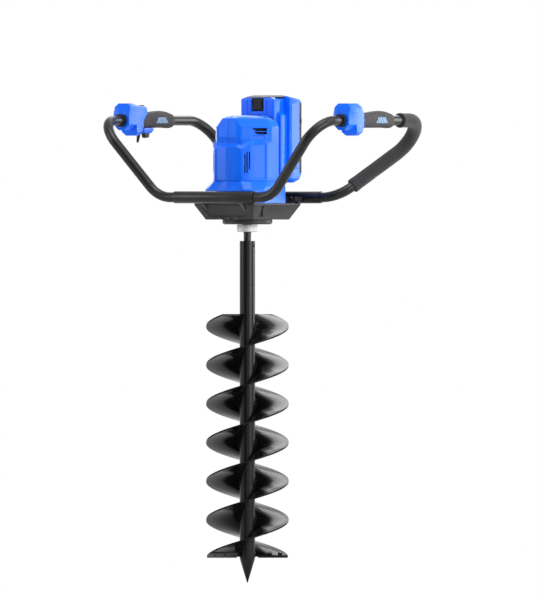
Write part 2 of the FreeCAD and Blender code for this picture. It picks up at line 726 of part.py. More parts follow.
def guardShells(name, side, length, profile, lobeBack, extra):
    """Two half shells that meet on the bar's own plane, with a grommet hole in front."""
    x = d.grip_span * side
    half = d.guard_half_width
    front = -d.guard_front - d.guard_snout
    back = -d.guard_front + length
    outside = guardBody(name + "_outside", x, length, profile, lobeBack, size(0))
    inside = guardBody(name + "_inside", x, length, profile, lobeBack, d.shell_wall)
    bar = rod(name + "_bar", sleeveInner, front - 2, back + 2, (x, d.grip_height), "Y")
    seat = rod(name + "_seat", d.grommet_radius + d.press_play, front - 1,
               front - d.grommet_proud + d.grommet_length + d.seat_gap, (x, d.grip_height), "Y")
    bosses = [rod("%s_boss_%d" % (name, index), d.shell_screw + d.screw_boss, x - half + 1, x + half - 1,
                  spot, "X") for index, spot in enumerate(shellScrewSpots())]
    hollow = union(name + "_hollow", cut(name + "_walls", outside, inside), *bosses)
    holes = []
    for index, spot in enumerate(shellScrewSpots()):
        holes.append(rod("%s_screw_hole_%d" % (name, index), d.shell_screw + d.hole_play, x - half - 1,
                         x + half - 4, spot, "X"))
        holes.append(rod("%s_head_hole_%d" % (name, index), d.shell_screw * 2 + d.part_gap, x - half - 1,
                         x - half + d.shell_wall, spot, "X"))
    shell = cut(name + "_shell", hollow, bar, seat, *(extra + holes))
    reach = d.guard_top + d.guard_lobe
    for label, face in (("inner", -side), ("outer", side)):
        low, high = (x + d.shell_gap / 2, x + half + 1) if face > 0 else (x - half - 1, x - d.shell_gap / 2)
        room = box("%s_%s_room" % (name, label), (low, front - 1, d.grip_height - reach),
                   (high, back + 1, d.grip_height + reach))
        node("%s_%s" % (name, label), common("%s_%s_half" % (name, label), shell, room))


def grommets():
    front = -d.guard_front - d.guard_snout
    rings = [ring("grommet_%d" % (side + 1), sleeveInner, d.grommet_radius, front - d.grommet_proud,
                  front - d.grommet_proud + d.grommet_length, (d.grip_span * side, d.grip_height), "Y")
             for side in (-1, 1)]
    node("tube_grommets", group("tube_grommets_all", *rings))


# ---------------------------------------------------------------- controls
controlX = -d.grip_span
controlBack = -d.guard_front + d.control_length
gripLow = d.grip_height - d.grip_drop
buttonX = controlX + d.button_offset
leverX = controlX + d.lever_offset
leverZ = gripLow - d.lever_drop
triggerZ = gripLow - d.trigger_pivot_drop
triggerSeat = triggerZ - 0.6
controlLow = controlBack - d.control_undercut
slotRoof = gripLow - d.seat_gap - 1.6


def buttonSeatTop():
    """Height of the control housing's sloping top at the lock button."""
    front, back = -d.guard_front + 36, controlBack - 5
    fraction = (d.button_y - front) / (back - front)
    return d.grip_height + buttonSlopeHigh - fraction * (buttonSlopeHigh - buttonSlopeLow)


def leverPinHole(name, play):
    return rod(name, d.lever_trunnion + play, controlLow - 15, d.trigger_pivot_y - d.trigger_hub - 1.5,
               (leverX, leverZ), "Y")


def controlShells():
    hole = box("button_hole",
               (buttonX - d.button_half_width - d.part_gap, d.button_y - d.button_half_length - d.part_gap,
                d.grip_height + d.guard_top - 24),
               (buttonX + d.button_half_width + d.part_gap, d.button_y + d.button_half_length + d.part_gap,
                d.grip_height + d.guard_top + 2))
    guardShells("control_shell", -1, d.control_length, controlProfile, controlLow,
                [hole, leverPinHole("shell_pin_hole", d.pin_play)])


def lockButton():
    """A thumb button with a flange under the shell that keeps it in."""
    top = buttonSeatTop() + d.button_proud
    stem = box("button_stem",
               (buttonX - d.button_half_width, d.button_y - d.button_half_length, top - d.button_depth),
               (buttonX + d.button_half_width, d.button_y + d.button_half_length, top))
    node("lock_button", stem)


def triggerHousing():
    """The box below the grip that holds the trigger, its spring and the switch."""
    top = gripLow - d.seat_gap
    low = top - d.trigger_box_depth
    front, back = controlBack + d.part_gap, d.trigger_box_end
    outline = [(front, top - 9), (front + 4, low), (back - 16, low), (back, top - 5), (back, top),
               (front, top)]
    block = prism("trigger_housing_block", "YZ", outline, controlX - d.trigger_box_half,
                  controlX + d.trigger_box_half)
    slotHalf = d.trigger_half + d.part_gap
    slot = box("trigger_slot",
               (controlX - slotHalf, d.trigger_pivot_y - d.trigger_hub - d.part_gap, low - 1),
               (controlX + slotHalf, d.trigger_pivot_y + d.trigger_reach + 1.5, slotRoof))
    room = box("switch_room", (controlX - 8, d.trigger_pivot_y + d.trigger_reach + 1, top - 7),
               (controlX + 8, back - 3, slotRoof))
    pin = rod("trigger_pin_hole", d.trigger_pin_radius + d.press_play, controlX - d.trigger_box_half - 1,
              controlX + d.trigger_box_half + 1, (d.trigger_pivot_y, triggerZ), "X")
    node("trigger_housing",
         cut("trigger_housing_cut", block, slot, room, pin, leverPinHole("box_pin_hole", d.pin_play)))
    switch = box("trigger_switch_block",
                 (controlX - 8 + d.seat_gap, d.trigger_pivot_y + d.trigger_reach + 1.8, top - 6.9),
                 (controlX + 8 - d.seat_gap, back - 3 - d.seat_gap, slotRoof - d.seat_gap))
    node("trigger_switch", switch)
    node("trigger_pin",
         rod("trigger_pin_rod", d.trigger_pin_radius, controlX - d.trigger_box_half + 0.5,
             controlX + d.trigger_box_half - 0.5, (d.trigger_pivot_y, triggerZ), "X"))


def trigger():
    """A finger trigger, hinged at its front end."""
    y, z = d.trigger_pivot_y, triggerZ
    outline = [(y - d.trigger_hub, z), (y - d.trigger_hub + 1.2, z - 2.8), (y + 3, z - 5),
               (y + 7, z - d.trigger_drop + 2), (y + 11, z - d.trigger_drop),
               (y + d.trigger_reach - 3, z - d.trigger_drop + 1.5),
               (y + d.trigger_reach, z - d.trigger_drop + 8), (y + d.trigger_reach, triggerSeat),
               (y + 4.4, triggerSeat), (y + 2.8, z + 2.8), (y, z + d.trigger_hub), (y - 2.8, z + 2.8)]
    block = prism("trigger_block", "YZ", outline, controlX - d.trigger_half, controlX + d.trigger_half)
    bore = rod("trigger_bore", d.trigger_pin_radius + d.pin_play, controlX - 20, controlX + 20, (y, z), "X")
    node("trigger", cut("trigger_cut", block, bore))


def triggerSpring():
    """The return spring stands on the trigger and bears on the roof of its slot."""
    low = triggerSeat + d.part_gap + d.spring_wire
    high = slotRoof - d.seat_gap - d.spring_wire
    height = high.value - low.value
    radius = d.spring_radius.value
    helix = Part.makeHelix(height / SPRING_TURNS, height, radius)
    circle = Part.Wire(Part.Circle(Vector(radius, 0, 0), Vector(0, 1, 0), d.spring_wire.value).toShape())
    spring = doc.addObject("Part::Feature", "trigger_spring_coil")
    spring.Shape = Part.Wire(helix.Edges).makePipeShell([circle], True, True)
    put(spring, controlX, d.trigger_pivot_y + d.trigger_reach / 2, low)
    node("trigger_spring", spring)


def directionLever():
    """A pointed lever on a trunnion along the bar; it leans to one side for each direction."""
    half = d.lever_hub
    low = d.lever_y - d.lever_thick / 2
    high = d.lever_y + d.lever_thick / 2
    lean = math.radians(d.lever_lean.value)
    tipX, tipZ = leverX - d.lever_length * math.sin(lean), leverZ - d.lever_length * math.cos(lean)
    hub = rod("lever_hub_rod", half, low, high, (leverX, leverZ), "Y")
    blade = prism("lever_blade", "XZ",
                  [(leverX - half * 0.9, leverZ - half * 0.3), (tipX - 1, tipZ + 5), (tipX, tipZ),
                   (tipX + 2.5, tipZ + 1), (leverX + half * 0.9, leverZ - half * 0.3)], low, high)
    trunnion = rod("lever_trunnion_rod", d.lever_trunnion, controlLow - 14,
                   d.trigger_pivot_y - d.trigger_hub - 2, (leverX, leverZ), "Y")
    node("direction_lever", union("direction_lever_solid", hub, blade, trunnion))


def shellScrews():
    """Screws that close the two pairs of shells, let in from one side."""
    screws = []
    for side in (-1, 1):
        seat = d.grip_span * side - d.guard_half_width + d.shell_wall
        for index, spot in enumerate(shellScrewSpots()):
            screws.append(screw("shell_screw_%d_%d" % (side + 1, index), seat, d.guard_half_width * 1.5,
                                spot, "X", 1, d.shell_screw, d.shell_screw * 2, d.shell_wall - d.part_gap))
    node("shell_screws", group("shell_screws_all", *screws))


# ---------------------------------------------------------------- gearbox
baseLow = d.flange_thick
coverTop = d.base_top + d.cover_thick
layDistance = d.output_module * ((OUTPUT_TEETH + OUTPUT_PINION_TEETH) / 2)
inputDistance = d.input_module * ((INPUT_TEETH + INPUT_PINION_TEETH) / 2)
motorY = -d.motor_setback
# the layshaft stands where both pairs of gears are at their centre distances
layY = (inputDistance * inputDistance - layDistance * layDistance - motorY * motorY) / (-motorY * 2)
layX = root(layDistance * layDistance - layY * layY)
floorTop = baseLow + d.base_wall
lowerRaceLow = baseLow + d.base_wall + 1.8 - d.bearing_width
outputLow = lowerRaceLow + d.bearing_width + d.gear_gap
outputTop = outputLow + d.output_width
inputLow = outputTop + d.gear_gap * 1.5
inputTop = inputLow + d.input_width
upperRaceLow = d.base_top - 1.5
upperRaceTop = upperRaceLow + 7
layRaceLow = floorTop + 1.6 - d.thin_bearing
layRaceTop = d.base_top - 0.6 + d.thin_bearing


def gearboxHousing():
    wall = d.base_wall
    outside = frustum("base_outside", baseLow, d.base_top, (d.base_low_x, d.base_low_y),
                      (d.base_high_x, d.base_high_y))
    inside = frustum("base_inside", floorTop, d.base_top + 0.01, (d.base_low_x - wall, d.base_low_y - wall),
                     (d.base_high_x - wall, d.base_high_y - wall))
    boss = rod("base_boss", d.lower_race + 4, baseLow, lowerRaceLow + d.bearing_width, (0, 0))
    layBoss = rod("base_lay_boss", d.lay_race + 3, baseLow, layRaceLow + d.thin_bearing, (layX, layY))
    race = rod("base_race_seat", d.lower_race + d.press_play, baseLow - 1, coverTop, (0, 0))
    laySeat = rod("base_lay_seat", d.lay_race + d.press_play, layRaceLow - d.seat_gap, coverTop,
                  (layX, layY))
    shell = union("base_shell", cut("base_hollow", outside, inside), boss, layBoss, *screwBosses())
    tools = basePanels() + baseScrewHoles("base_hole") + flangeScrewHoles("floor_hole")
    node("gearbox_housing", cut("gearbox_housing_cut", shell, race, laySeat, *tools))


def basePanels():
    """Shallow panels in the front and rear faces, and a slot in each side face."""
    depth = d.panel_depth
    low, high = baseLow + 8, d.base_top - 5
    lowEdge, highEdge = d.base_low_x - 16, d.base_high_x - 20
    outline = [(-lowEdge, low), (lowEdge, low), (highEdge, high), (-highEdge, high)]
    slope = (d.base_high_y - d.base_low_y) / (d.base_top - baseLow)
    tools = []
    for side in (-1, 1):
        lowFace = (d.base_low_y + slope * (low - baseLow) - depth) * side
        highFace = (d.base_low_y + slope * (high - baseLow) - depth) * side
        far = (d.base_high_y + 5) * side
        wedge = prism("base_panel_depth_%d" % (side + 1), "YZ",
                      [(lowFace, low), (far, low), (far, high), (highFace, high)], -highEdge - 1,
                      highEdge + 1)
        front = prism("base_panel_outline_%d" % (side + 1), "XZ", outline, -d.base_high_y - 6,
                      d.base_high_y + 6)
        tools.append(common("base_panel_%d" % (side + 1), wedge, front))
        sideSlope = (d.base_high_x - d.base_low_x) / (d.base_top - baseLow)
        lowSide = (d.base_low_x + sideSlope * (low - baseLow) - depth) * side
        highSide = (d.base_high_x - depth) * side
        farSide = (d.base_high_x + 5) * side
        tools.append(prism("base_slot_%d" % (side + 1), "XZ",
                           [(lowSide, low), (farSide, low), (farSide, d.base_top + 1),
                            (highSide, d.base_top + 1)], -d.base_low_y * 0.72 - 1.8,
                           -d.base_low_y * 0.72 + 1.8))
    return tools


def coverScrewSpots():
    return [(side * (d.base_high_x - d.cover_screw_x), end * (d.base_high_y - d.cover_screw_y))
            for side in (-1, 1) for end in (-1, 1)]


def baseScrewHoles(name):
    return [rod("%s_%d" % (name, index), d.screw_radius + d.hole_play, d.base_top - d.screw_length,
                coverTop + 1, spot) for index, spot in enumerate(coverScrewSpots())]


def screwBosses():
    """Corner bosses inside the housing that take the cover's screws."""
    return [rod("base_screw_boss_%d" % index, d.screw_radius + d.screw_boss,
                d.base_top - d.screw_length - 3, d.base_top, spot) for index,
            spot in enumerate(coverScrewSpots())]


def flangeScrewSpots():
    spots = []
    for index in range(0, 8, 2):
        angle = math.radians(45 * index)
        spots.append((d.flange_pcd / 2 * math.cos(angle), d.flange_pcd / 2 * math.sin(angle)))
    return spots


def flangeScrewHoles(name):
    return [
        rod("%s_%d" % (name, index), d.screw_radius + d.hole_play, baseLow - 1, coverTop, spot) for index,
        spot in enumerate(flangeScrewSpots())]


def gearboxCover():
    """The lid of the gearbox, with arms that reach the two sleeves and a pad for the motor."""
    plate = box("cover_plate", (-d.base_high_x, -d.base_high_y, d.base_top),
                (d.base_high_x, d.base_high_y, coverTop))
    arms = []
    armLow = d.base_top
    armHigh = coverTop + d.arm_rise
    armTip = armLow + 5.5
    for side in (-1, 1):
        x = d.arm_offset * side
        for label, edge, reach, way in (("front", -armEdgeFront, frontBarY, -1),
                                        ("rear", armEdgeRear, d.rear_reach, 1)):
            outline = [(edge, armLow), (edge + 12 * way, armTip), (reach, armTip), (reach, armHigh),
                       (edge, armHigh)]
            arms.append(prism("%s_arm_%d" % (label, side + 1), "YZ", outline, x - d.arm_width / 2,
                              x + d.arm_width / 2))
    pad = rod("motor_pad_rod", d.motor_radius, d.base_top, coverTop + d.motor_pad, (0, motorY))
    boss = rod("upper_boss", d.upper_race + 4, d.base_top, upperRaceTop + 1.5, (0, 0))
    layBoss = rod("upper_lay_boss", d.lay_race + 3, d.base_top, layRaceTop + 1.5, (layX, layY))
    solid = union("cover_solid", plate, pad, boss, layBoss, *arms)
    saddles = [rod("saddle_%d" % index, sleeveOuter + d.seat_gap, -d.sleeve_half, d.sleeve_half,
                   (reach, d.bar_height), "X") for index, reach in enumerate((frontBarY, d.rear_reach))]
    trims = [box("front_arm_trim", (-d.sleeve_half, frontBarY - 1, armLow - 1),
                 (d.sleeve_half, frontBarY + 7, armHigh + 1)),
             box("rear_arm_trim", (-d.sleeve_half, d.rear_reach - 7, armLow - 1),
                 (d.sleeve_half, d.rear_reach + 1, armHigh + 1))]
    padHollow = rod("pad_hollow", d.motor_radius - 8, coverTop + 0.01, coverTop + d.motor_pad + 1,
                    (0, motorY))
    shaftHole = rod("motor_shaft_hole", d.input_module * 7 + 4, d.base_top - 1, coverTop + d.motor_pad + 1,
                    (0, motorY))
    race = rod("upper_race_seat", d.upper_race + d.press_play, d.base_top - 1, upperRaceTop, (0, 0))
    laySeat = rod("upper_lay_seat", d.lay_race + d.press_play, d.base_top - 1, layRaceTop + d.seat_gap,
                  (layX, layY))
    bossAgain = cut(
        "upper_boss_again",
        rod("upper_boss_keep", d.upper_race + 4, d.base_top, upperRaceTop + 1.5, (0, 0)),
        rod("upper_boss_bore", d.upper_race + d.press_play, d.base_top - 1, upperRaceTop, (0, 0)))
    hollowed = cut("cover_hollowed", solid, padHollow)
    joined = union("cover_joined", hollowed, bossAgain)
    tools = saddles + trims + boltHoles("cover") + baseScrewHoles("cover_hole")
    node("gearbox_cover", cut("gearbox_cover_cut", joined, shaftHole, race, laySeat, *tools))


def flange():
    thick = d.flange_thick
    radius, bevel = d.flange_radius, d.flange_bevel
    bore = d.seal_radius + d.press_play
    seat = d.lower_race + d.press_play
    seatLow = lowerRaceLow - d.seat_gap
    body = turned("flange_turned",
                  [(bore, 0), (radius - bevel, 0), (radius, bevel), (radius, thick), (seat, thick),
                   (seat, seatLow), (bore, seatLow)])
    holes = []
    for index in range(4):
        angle = math.radians(90 * index + 45)
        spot = (d.flange_pcd / 2 * math.cos(angle), d.flange_pcd / 2 * math.sin(angle))
        holes.append(rod("flange_tapped_%d" % index, d.flange_hole, -1, thick - 2.5, spot))
    for index, spot in enumerate(flangeScrewSpots()):
        holes.append(rod("flange_clear_%d" % index, d.screw_radius + d.hole_play, -1, thick + 1, spot))
        holes.append(rod("flange_sink_%d" % index, d.screw_head + 0.3, -1, d.screw_head_depth + d.part_gap,
                         spot))
    node("gearbox_flange", cut("gearbox_flange_cut", body, *holes))


def gearboxScrews():
    screws = [screw("cover_screw_%d" % index, coverTop, d.screw_length, spot) for index,
              spot in enumerate(coverScrewSpots())]
    screws += [screw("flange_screw_%d" % index, d.screw_head_depth + d.part_gap, d.screw_length - 1, spot,
                     "Z", 1) for index, spot in enumerate(flangeScrewSpots())]
    return screws


def bearing(name, bore, outer, low, width, centre=(0, 0)):
    """Outer and inner race with a shield between them, as one turned ring."""
    inner = bore + d.running_fit
    return turned(name,
                  [(inner, low), (inner + (outer - bore) * 0.25, low),
                   (inner + (outer - bore) * 0.3, low + 0.4), (outer - (outer - bore) * 0.3, low + 0.4),
                   (outer - (outer - bore) * 0.25, low), (outer, low), (outer, low + width),
                   (outer - (outer - bore) * 0.25, low + width),
                   (outer - (outer - bore) * 0.3, low + width - 0.4),
                   (inner + (outer - bore) * 0.3, low + width - 0.4),
                   (inner + (outer - bore) * 0.25, low + width), (inner, low + width)], centre)


def bearings():
    node("spindle_bearings",
         group("spindle_bearings_all",
               bearing("lower_bearing", d.lower_journal, d.lower_race, lowerRaceLow, d.bearing_width),
               bearing("upper_bearing", d.upper_journal, d.upper_race, upperRaceLow, size(7))))
    node("layshaft_bearings",
         group("layshaft_bearings_all",
               bearing("lay_lower", d.layshaft_journal, d.lay_race, layRaceLow, d.thin_bearing,
                       (layX, layY)),
               bearing("lay_upper", d.layshaft_journal, d.lay_race, layRaceTop - d.thin_bearing,
                       d.thin_bearing, (layX, layY))))
    node("shaft_seal",
         turned("shaft_seal_ring",
                [(d.neck_radius + d.pin_play, 0.5), (d.seal_radius - 3, 0.5), (d.seal_radius - 2, 0.2),
                 (d.seal_radius, 0.2), (d.seal_radius, 0.2 + d.seal_width),
                 (d.neck_radius + d.pin_play, 0.2 + d.seal_width)]))


# ---------------------------------------------------------------- gears and shafts
def gearOutline(teeth, module, phase):
    """Involute tooth outline. The first tooth's middle stands at the angle given by phase."""
    pressure = math.radians(PRESSURE_ANGLE)
    pitch = module * teeth / 2
    base = pitch * math.cos(pressure)
    outside = pitch + module
    inside = pitch - 1.25 * module
    halfTooth = math.pi / 2 / teeth - GEAR_BACKLASH / 4 / pitch + math.tan(pressure) - pressure
    flank = []
    lowest = max(base, inside)
    for step in range(FLANK_POINTS):
        radius = lowest + (outside - lowest) * step / (FLANK_POINTS - 1)
        spread = math.acos(min(1, base / radius))
        flank.append((radius, halfTooth - math.tan(spread) + spread))
    if inside < base:
        flank.insert(0, (inside, halfTooth))
    corners = []
    for tooth in range(teeth):
        middle = phase + 2 * math.pi * tooth / teeth
        corners += [(radius, middle - angle) for radius, angle in flank]
        corners += [(radius, middle + angle) for radius, angle in reversed(flank)]
    return [Vector(radius * math.cos(angle), radius * math.sin(angle), 0) for radius, angle in corners]


def gearSolid(name, teeth, module, phase, low, high, centre):
    points = gearOutline(teeth, module.value, phase)
    face = Part.Face(Part.makePolygon(points + points[:1]))
    thing = doc.addObject("Part::Feature", name)
    thing.Shape = face.extrude(Vector(0, 0, (high - low).value))
    return put(thing, centre[0], centre[1], low)


def meshPhase(drivenTeeth, towards, driverTeeth, driverPhase):
    """Phase of a gear whose gap meets a tooth of the other gear on the line between their centres."""
    passed = (towards - driverPhase) * driverTeeth / (2 * math.pi)
    return towards + math.pi - (0.5 - passed) * 2 * math.pi / drivenTeeth


def drive():
    layAngle = math.atan2(layY.value, layX.value)
    motorAngle = math.atan2(motorY.value - layY.value, -layX.value)
    pinionPhase = meshPhase(OUTPUT_PINION_TEETH, layAngle, OUTPUT_TEETH, 0)
    motorPhase = meshPhase(INPUT_PINION_TEETH, motorAngle, INPUT_TEETH, 0)
    lay = (layX, layY)
    motor = (size(0), motorY)
    # output gear: rim, thinner web with six holes, hub pressed on the spindle
    gear = gearSolid("output_gear_teeth", OUTPUT_TEETH, d.output_module, 0, outputLow, outputTop,
                     (size(0), size(0)))
    rim = d.output_module * (OUTPUT_TEETH / 2 - 4)
    recess = (d.output_width - d.gear_web) / 2
    tools = [ring("output_web_low", d.gear_seat + 6, rim, outputLow - 1, outputLow + recess),
             ring("output_web_high", d.gear_seat + 6, rim, outputTop - recess, outputTop + 1),
             rod("output_bore", d.gear_seat + d.press_play, outputLow - 1, outputTop + 1)]
    for index in range(6):
        angle = math.radians(60 * index)
        middle = (rim + d.gear_seat + 6) / 2
        tools.append(rod("output_hole_%d" % index, (rim - d.gear_seat - 6) * 0.32, outputLow - 1,
                         outputTop + 1, (middle * math.cos(angle), middle * math.sin(angle))))
    node("output_gear", cut("output_gear_cut", gear, *tools))
    big = gearSolid("input_gear_teeth", INPUT_TEETH, d.input_module, 0, inputLow, inputTop, lay)
    bore = rod("input_bore", d.layshaft_radius + d.press_play, inputLow - 1, inputTop + 1, lay)
    node("layshaft_gear", cut("layshaft_gear_cut", big, bore))
    # layshaft: its pinion is cut on the shaft
    shaft = turned("layshaft_turned",
                   [(0, layRaceLow + 0.5), (d.layshaft_journal, layRaceLow + 0.5),
                    (d.layshaft_journal, layRaceLow + d.thin_bearing + 0.4),
                    (d.layshaft_radius, layRaceLow + d.thin_bearing + 0.4),
                    (d.layshaft_radius, layRaceTop - d.thin_bearing - 0.4),
                    (d.layshaft_journal, layRaceTop - d.thin_bearing - 0.4),
                    (d.layshaft_journal, layRaceTop - 0.3), (0, layRaceTop - 0.3)], lay)
    teeth = gearSolid("output_pinion_teeth", OUTPUT_PINION_TEETH, d.output_module, pinionPhase, outputLow,
                      outputTop, lay)
    node("layshaft", union("layshaft_solid", shaft, teeth))
    # motor shaft with its pinion
    top = motorShaftTop()
    shaft = turned("motor_shaft_turned",
                   [(0, inputLow), (d.motor_shaft_radius, inputLow), (d.motor_shaft_radius, top - 1),
                    (d.motor_shaft_radius - 1, top), (0, top)], motor)
    teeth = gearSolid("motor_pinion_teeth", INPUT_PINION_TEETH, d.input_module, motorPhase, inputLow,
                      inputTop, motor)
    node("motor_shaft", union("motor_shaft_solid", shaft, teeth))


def outputSpindle():
    """Turned spindle: drive stub, neck, two journals and the gear seat."""
    shoulder = d.lower_journal + 2
    low = -d.stub_end
    lowJournal = lowerRaceLow - 0.3
    highJournal = lowerRaceLow + d.bearing_width + 0.3
    node("output_spindle",
         cut("output_spindle_cut",
             turned("spindle_turned",
                    [(0, low), (d.stub_radius - 1.5, low), (d.stub_radius, low + 1.5),
                     (d.stub_radius, -d.hub_length - 2.5), (d.stub_radius + 1.3, -d.hub_length - 1.5),
                     (d.stub_radius + 1.3, -d.hub_length + 1), (d.neck_radius, -d.hub_length + 1),
                     (d.neck_radius, lowJournal), (d.lower_journal, lowJournal),
                     (d.lower_journal, highJournal), (shoulder, highJournal), (shoulder, outputLow),
                     (d.gear_seat, outputLow), (d.gear_seat, outputTop), (d.gear_seat - 1.5, outputTop),
                     (d.gear_seat - 1.5, upperRaceLow - 0.4), (d.upper_journal, upperRaceLow - 0.4),
                     (d.upper_journal, upperRaceTop - 0.4), (0, upperRaceTop - 0.4)]),
             rod("spindle_pin_hole", d.cross_pin_radius + d.press_play, -30, 30, (0, -d.pin_drop), "X")))
    node("drive_hub",
         turned("drive_hub_turned",
                [(d.neck_radius + d.press_play, -d.hub_length + 1),
                 (d.stub_radius + 1.4, -d.hub_length + 1), (d.stub_radius + 1.4, -d.hub_length),
                 (d.hub_radius - 1.5, -d.hub_length), (d.hub_radius, -d.hub_length + 1.5),
                 (d.hub_radius, -d.part_gap), (d.neck_radius + d.press_play, -d.part_gap)]))


# ---------------------------------------------------------------- motor
canLow = coverTop + d.motor_pad
statorLow = canLow + d.can_floor + d.thin_bearing + d.winding_length
statorTop = statorLow + d.stator_length
fanLow = statorTop + d.winding_length + 3
bellLow = fanLow + d.fan_height + 3
bellTop = bellLow + d.end_bell


def motorShaftTop():
    return bellTop + 1


def motor():
    at = (0, motorY)
    bore = d.motor_race + d.press_play
    inner = d.motor_radius - d.motor_can_wall
    seatTop = canLow + d.can_floor + d.thin_bearing - 1
    can = turned("motor_can_turned",
                 [(bore, canLow + 1), (bore, seatTop), (bore + 3, seatTop),
                  (bore + 3, canLow + d.can_floor), (inner, canLow + d.can_floor), (inner, bellLow),
                  (d.motor_radius, bellLow), (d.motor_radius, canLow), (d.motor_shaft_radius + 3, canLow),
                  (d.motor_shaft_radius + 3, canLow + 1)], at)
    node("motor_can", can)
    bell = turned("end_bell_turned",
                  [(d.motor_shaft_radius + 3, bellTop), (d.motor_radius, bellTop),
                   (d.motor_radius, bellLow), (bore + 3, bellLow), (bore + 3, bellLow - 2),
                   (bore, bellLow - 2), (bore, bellLow + 3), (d.motor_shaft_radius + 3, bellLow + 3)], at)
    openings = []
    for index in range(6):
        angle = math.radians(60 * index + 30)
        reach = (bore + 3 + inner) / 2
        openings.append(rod("bell_opening_%d" % index, (inner - bore - 3) * 0.36, bellLow - 3, bellTop + 1,
                            (reach * math.cos(angle), motorY + reach * math.sin(angle))))
    node("motor_end_bell", cut("motor_end_bell_cut", bell, *openings))
    node("motor_bearings",
         group("motor_bearings_all",
               bearing("motor_lower", d.motor_shaft_radius, d.motor_race, canLow + 1.2, d.thin_bearing, at),
               bearing("motor_upper", d.motor_shaft_radius, d.motor_race, bellLow - 2, d.thin_bearing, at)))
    stack = ring("stator_stack", d.stator_inner, inner - d.press_play, statorLow, statorTop, at)
    slots = []
    for index in range(STATOR_SLOTS):
        angle = math.radians(360 * index / STATOR_SLOTS)
        reach = (d.stator_inner + inner) / 2
        slots.append(rod("stator_slot_%d" % index, (inner - d.stator_inner) * 0.2, statorLow - 1,
                         statorTop + 1, (reach * math.cos(angle), motorY + reach * math.sin(angle))))
    windings = [ring("windings_low", d.stator_inner + 2, inner - 3, statorLow - d.winding_length + 1,
                     statorLow, at),
                ring("windings_high", d.stator_inner + 2, inner - 3, statorTop,
                     statorTop + d.winding_length - 1, at)]
    node("stator", union("stator_solid", cut("stator_cut", stack, *slots), *windings))
    node("rotor",
         ring("rotor_ring", d.motor_shaft_radius + d.press_play, d.stator_inner - d.air_gap, statorLow,
              statorTop, at))
    hub = ring("fan_hub", d.motor_shaft_radius + d.press_play, d.motor_shaft_radius + 6, fanLow,
               fanLow + d.fan_height, at)
    disc = ring("fan_disc", d.motor_shaft_radius + d.press_play, d.fan_radius, fanLow, fanLow + 1.6, at)
    blades = []
    for index in range(FAN_BLADES):
        blade = doc.addObject("Part::Box", "fan_blade_%d" % index)
        tie(blade, "Length", d.fan_radius - d.motor_shaft_radius - 7)
        tie(blade, "Width", 1.4)
        tie(blade, "Height", d.fan_height)
        angle = math.radians(360 * index / FAN_BLADES)
        blade.Placement = FreeCAD.Placement(Vector(), Rotation(Vector(0, 0, 1), math.degrees(angle) + 12))
        start = d.motor_shaft_radius + 5
        put(blade, start * math.cos(angle), motorY + start * math.sin(angle), fanLow)
        blades.append(blade)
    node("cooling_fan", union("cooling_fan_solid", hub, disc, *blades))
    block = box("controller_block",
                (-d.controller_half, motorY - d.controller_half + 6, bellTop + d.seat_gap),
                (d.controller_half, motorY + d.controller_half + 6, bellTop + d.controller_height))
    pocket = rod("controller_pocket", d.motor_shaft_radius + 5, bellTop - 1, bellTop + 4, at)
    fins = [box("controller_fin_gap_%d" % index,
                (-d.controller_half + 4 + index * 8, motorY - d.controller_half,
                 bellTop + d.controller_height - 7),
                (-d.controller_half + 8 + index * 8, motorY + d.controller_half + 12,
                 bellTop + d.controller_height + 1))
            for index in range(8)]
    node("motor_controller", cut("motor_controller_cut", block, pocket, *fins))


# ---------------------------------------------------------------- motor cover
flareLow = coverTop + d.skirt_height
coverLow = flareLow + d.flare_height


def bothSides(half):
    """Completes an outline that is given from front to back on one side."""
    return half + [(-across, along) for across, along in reversed(half)]


def coverOutline(inset):
    """Plan of the motor cover's lower part, where the front bulges."""
    front, side, back = d.cover_front - inset, d.cover_half - inset, d.cover_back - inset
    return bothSides([(d.cover_half * 0.5 - inset * 0.6, -front), (side - 22, -front + 22.5),
                      (side, -front + 57.5), (side, -front + 70), (side, back - 18), (side - 22, back)])


def headOutline(inset, shrink=0):
    """Plan of the motor cover's upper part; shrink draws it in towards the domed top."""
    front, side = d.cover_front - d.cover_step - inset - shrink, d.cover_half - inset - shrink
    back = d.cover_back - inset - size(shrink) * 0.3
    return bothSides([(d.cover_half * 0.45 - inset * 0.6 - size(shrink) * 0.5, -front),
                      (side - 27, -front + 20.5), (side - 6, -front + 54), (side, -front + 69),
                      (side, back - 18), (side - 22, back)])


def skirtOutline(inset):
    front, side, back = d.skirt_front - inset, d.skirt_half - inset, d.skirt_back - inset
    return bothSides([(d.skirt_half * 0.6 - inset * 0.6, -front), (side - 18, -front + 12),
                      (side, -front + 39), (side, -front + 60), (side, back - 5), (side - 5, back)])


def baseSkirt():
    w = d.cover_wall
    outside = union(
        "skirt_outside", prism("skirt_straight", "XY", skirtOutline(size(0)), coverTop, flareLow),
        loft("skirt_flare", [(flareLow, skirtOutline(size(0))), (coverLow, coverOutline(size(0)))]))
    inside = union(
        "skirt_inside", prism("skirt_straight_inner", "XY", skirtOutline(w), coverTop - 1, flareLow),
        loft("skirt_flare_inner", [(flareLow, skirtOutline(w)), (coverLow + 0.01, coverOutline(w))]))
    node("base_skirt", cut("base_skirt_cut", outside, inside))


def coverSolid(name, inset):
    """The motor cover as one loft from its foot to its domed top."""
    top = d.cover_top - inset
    levels = [(coverLow - inset / 3, coverOutline(inset)), (d.cover_shoulder, coverOutline(inset)),
              (d.cover_shoulder + 14, headOutline(inset)), (top - 28, headOutline(inset)),
              (top - 15, headOutline(inset, 8)), (top - 6.5, headOutline(inset, 16)),
              (top, headOutline(inset, 31))]
    return loft(name, levels)


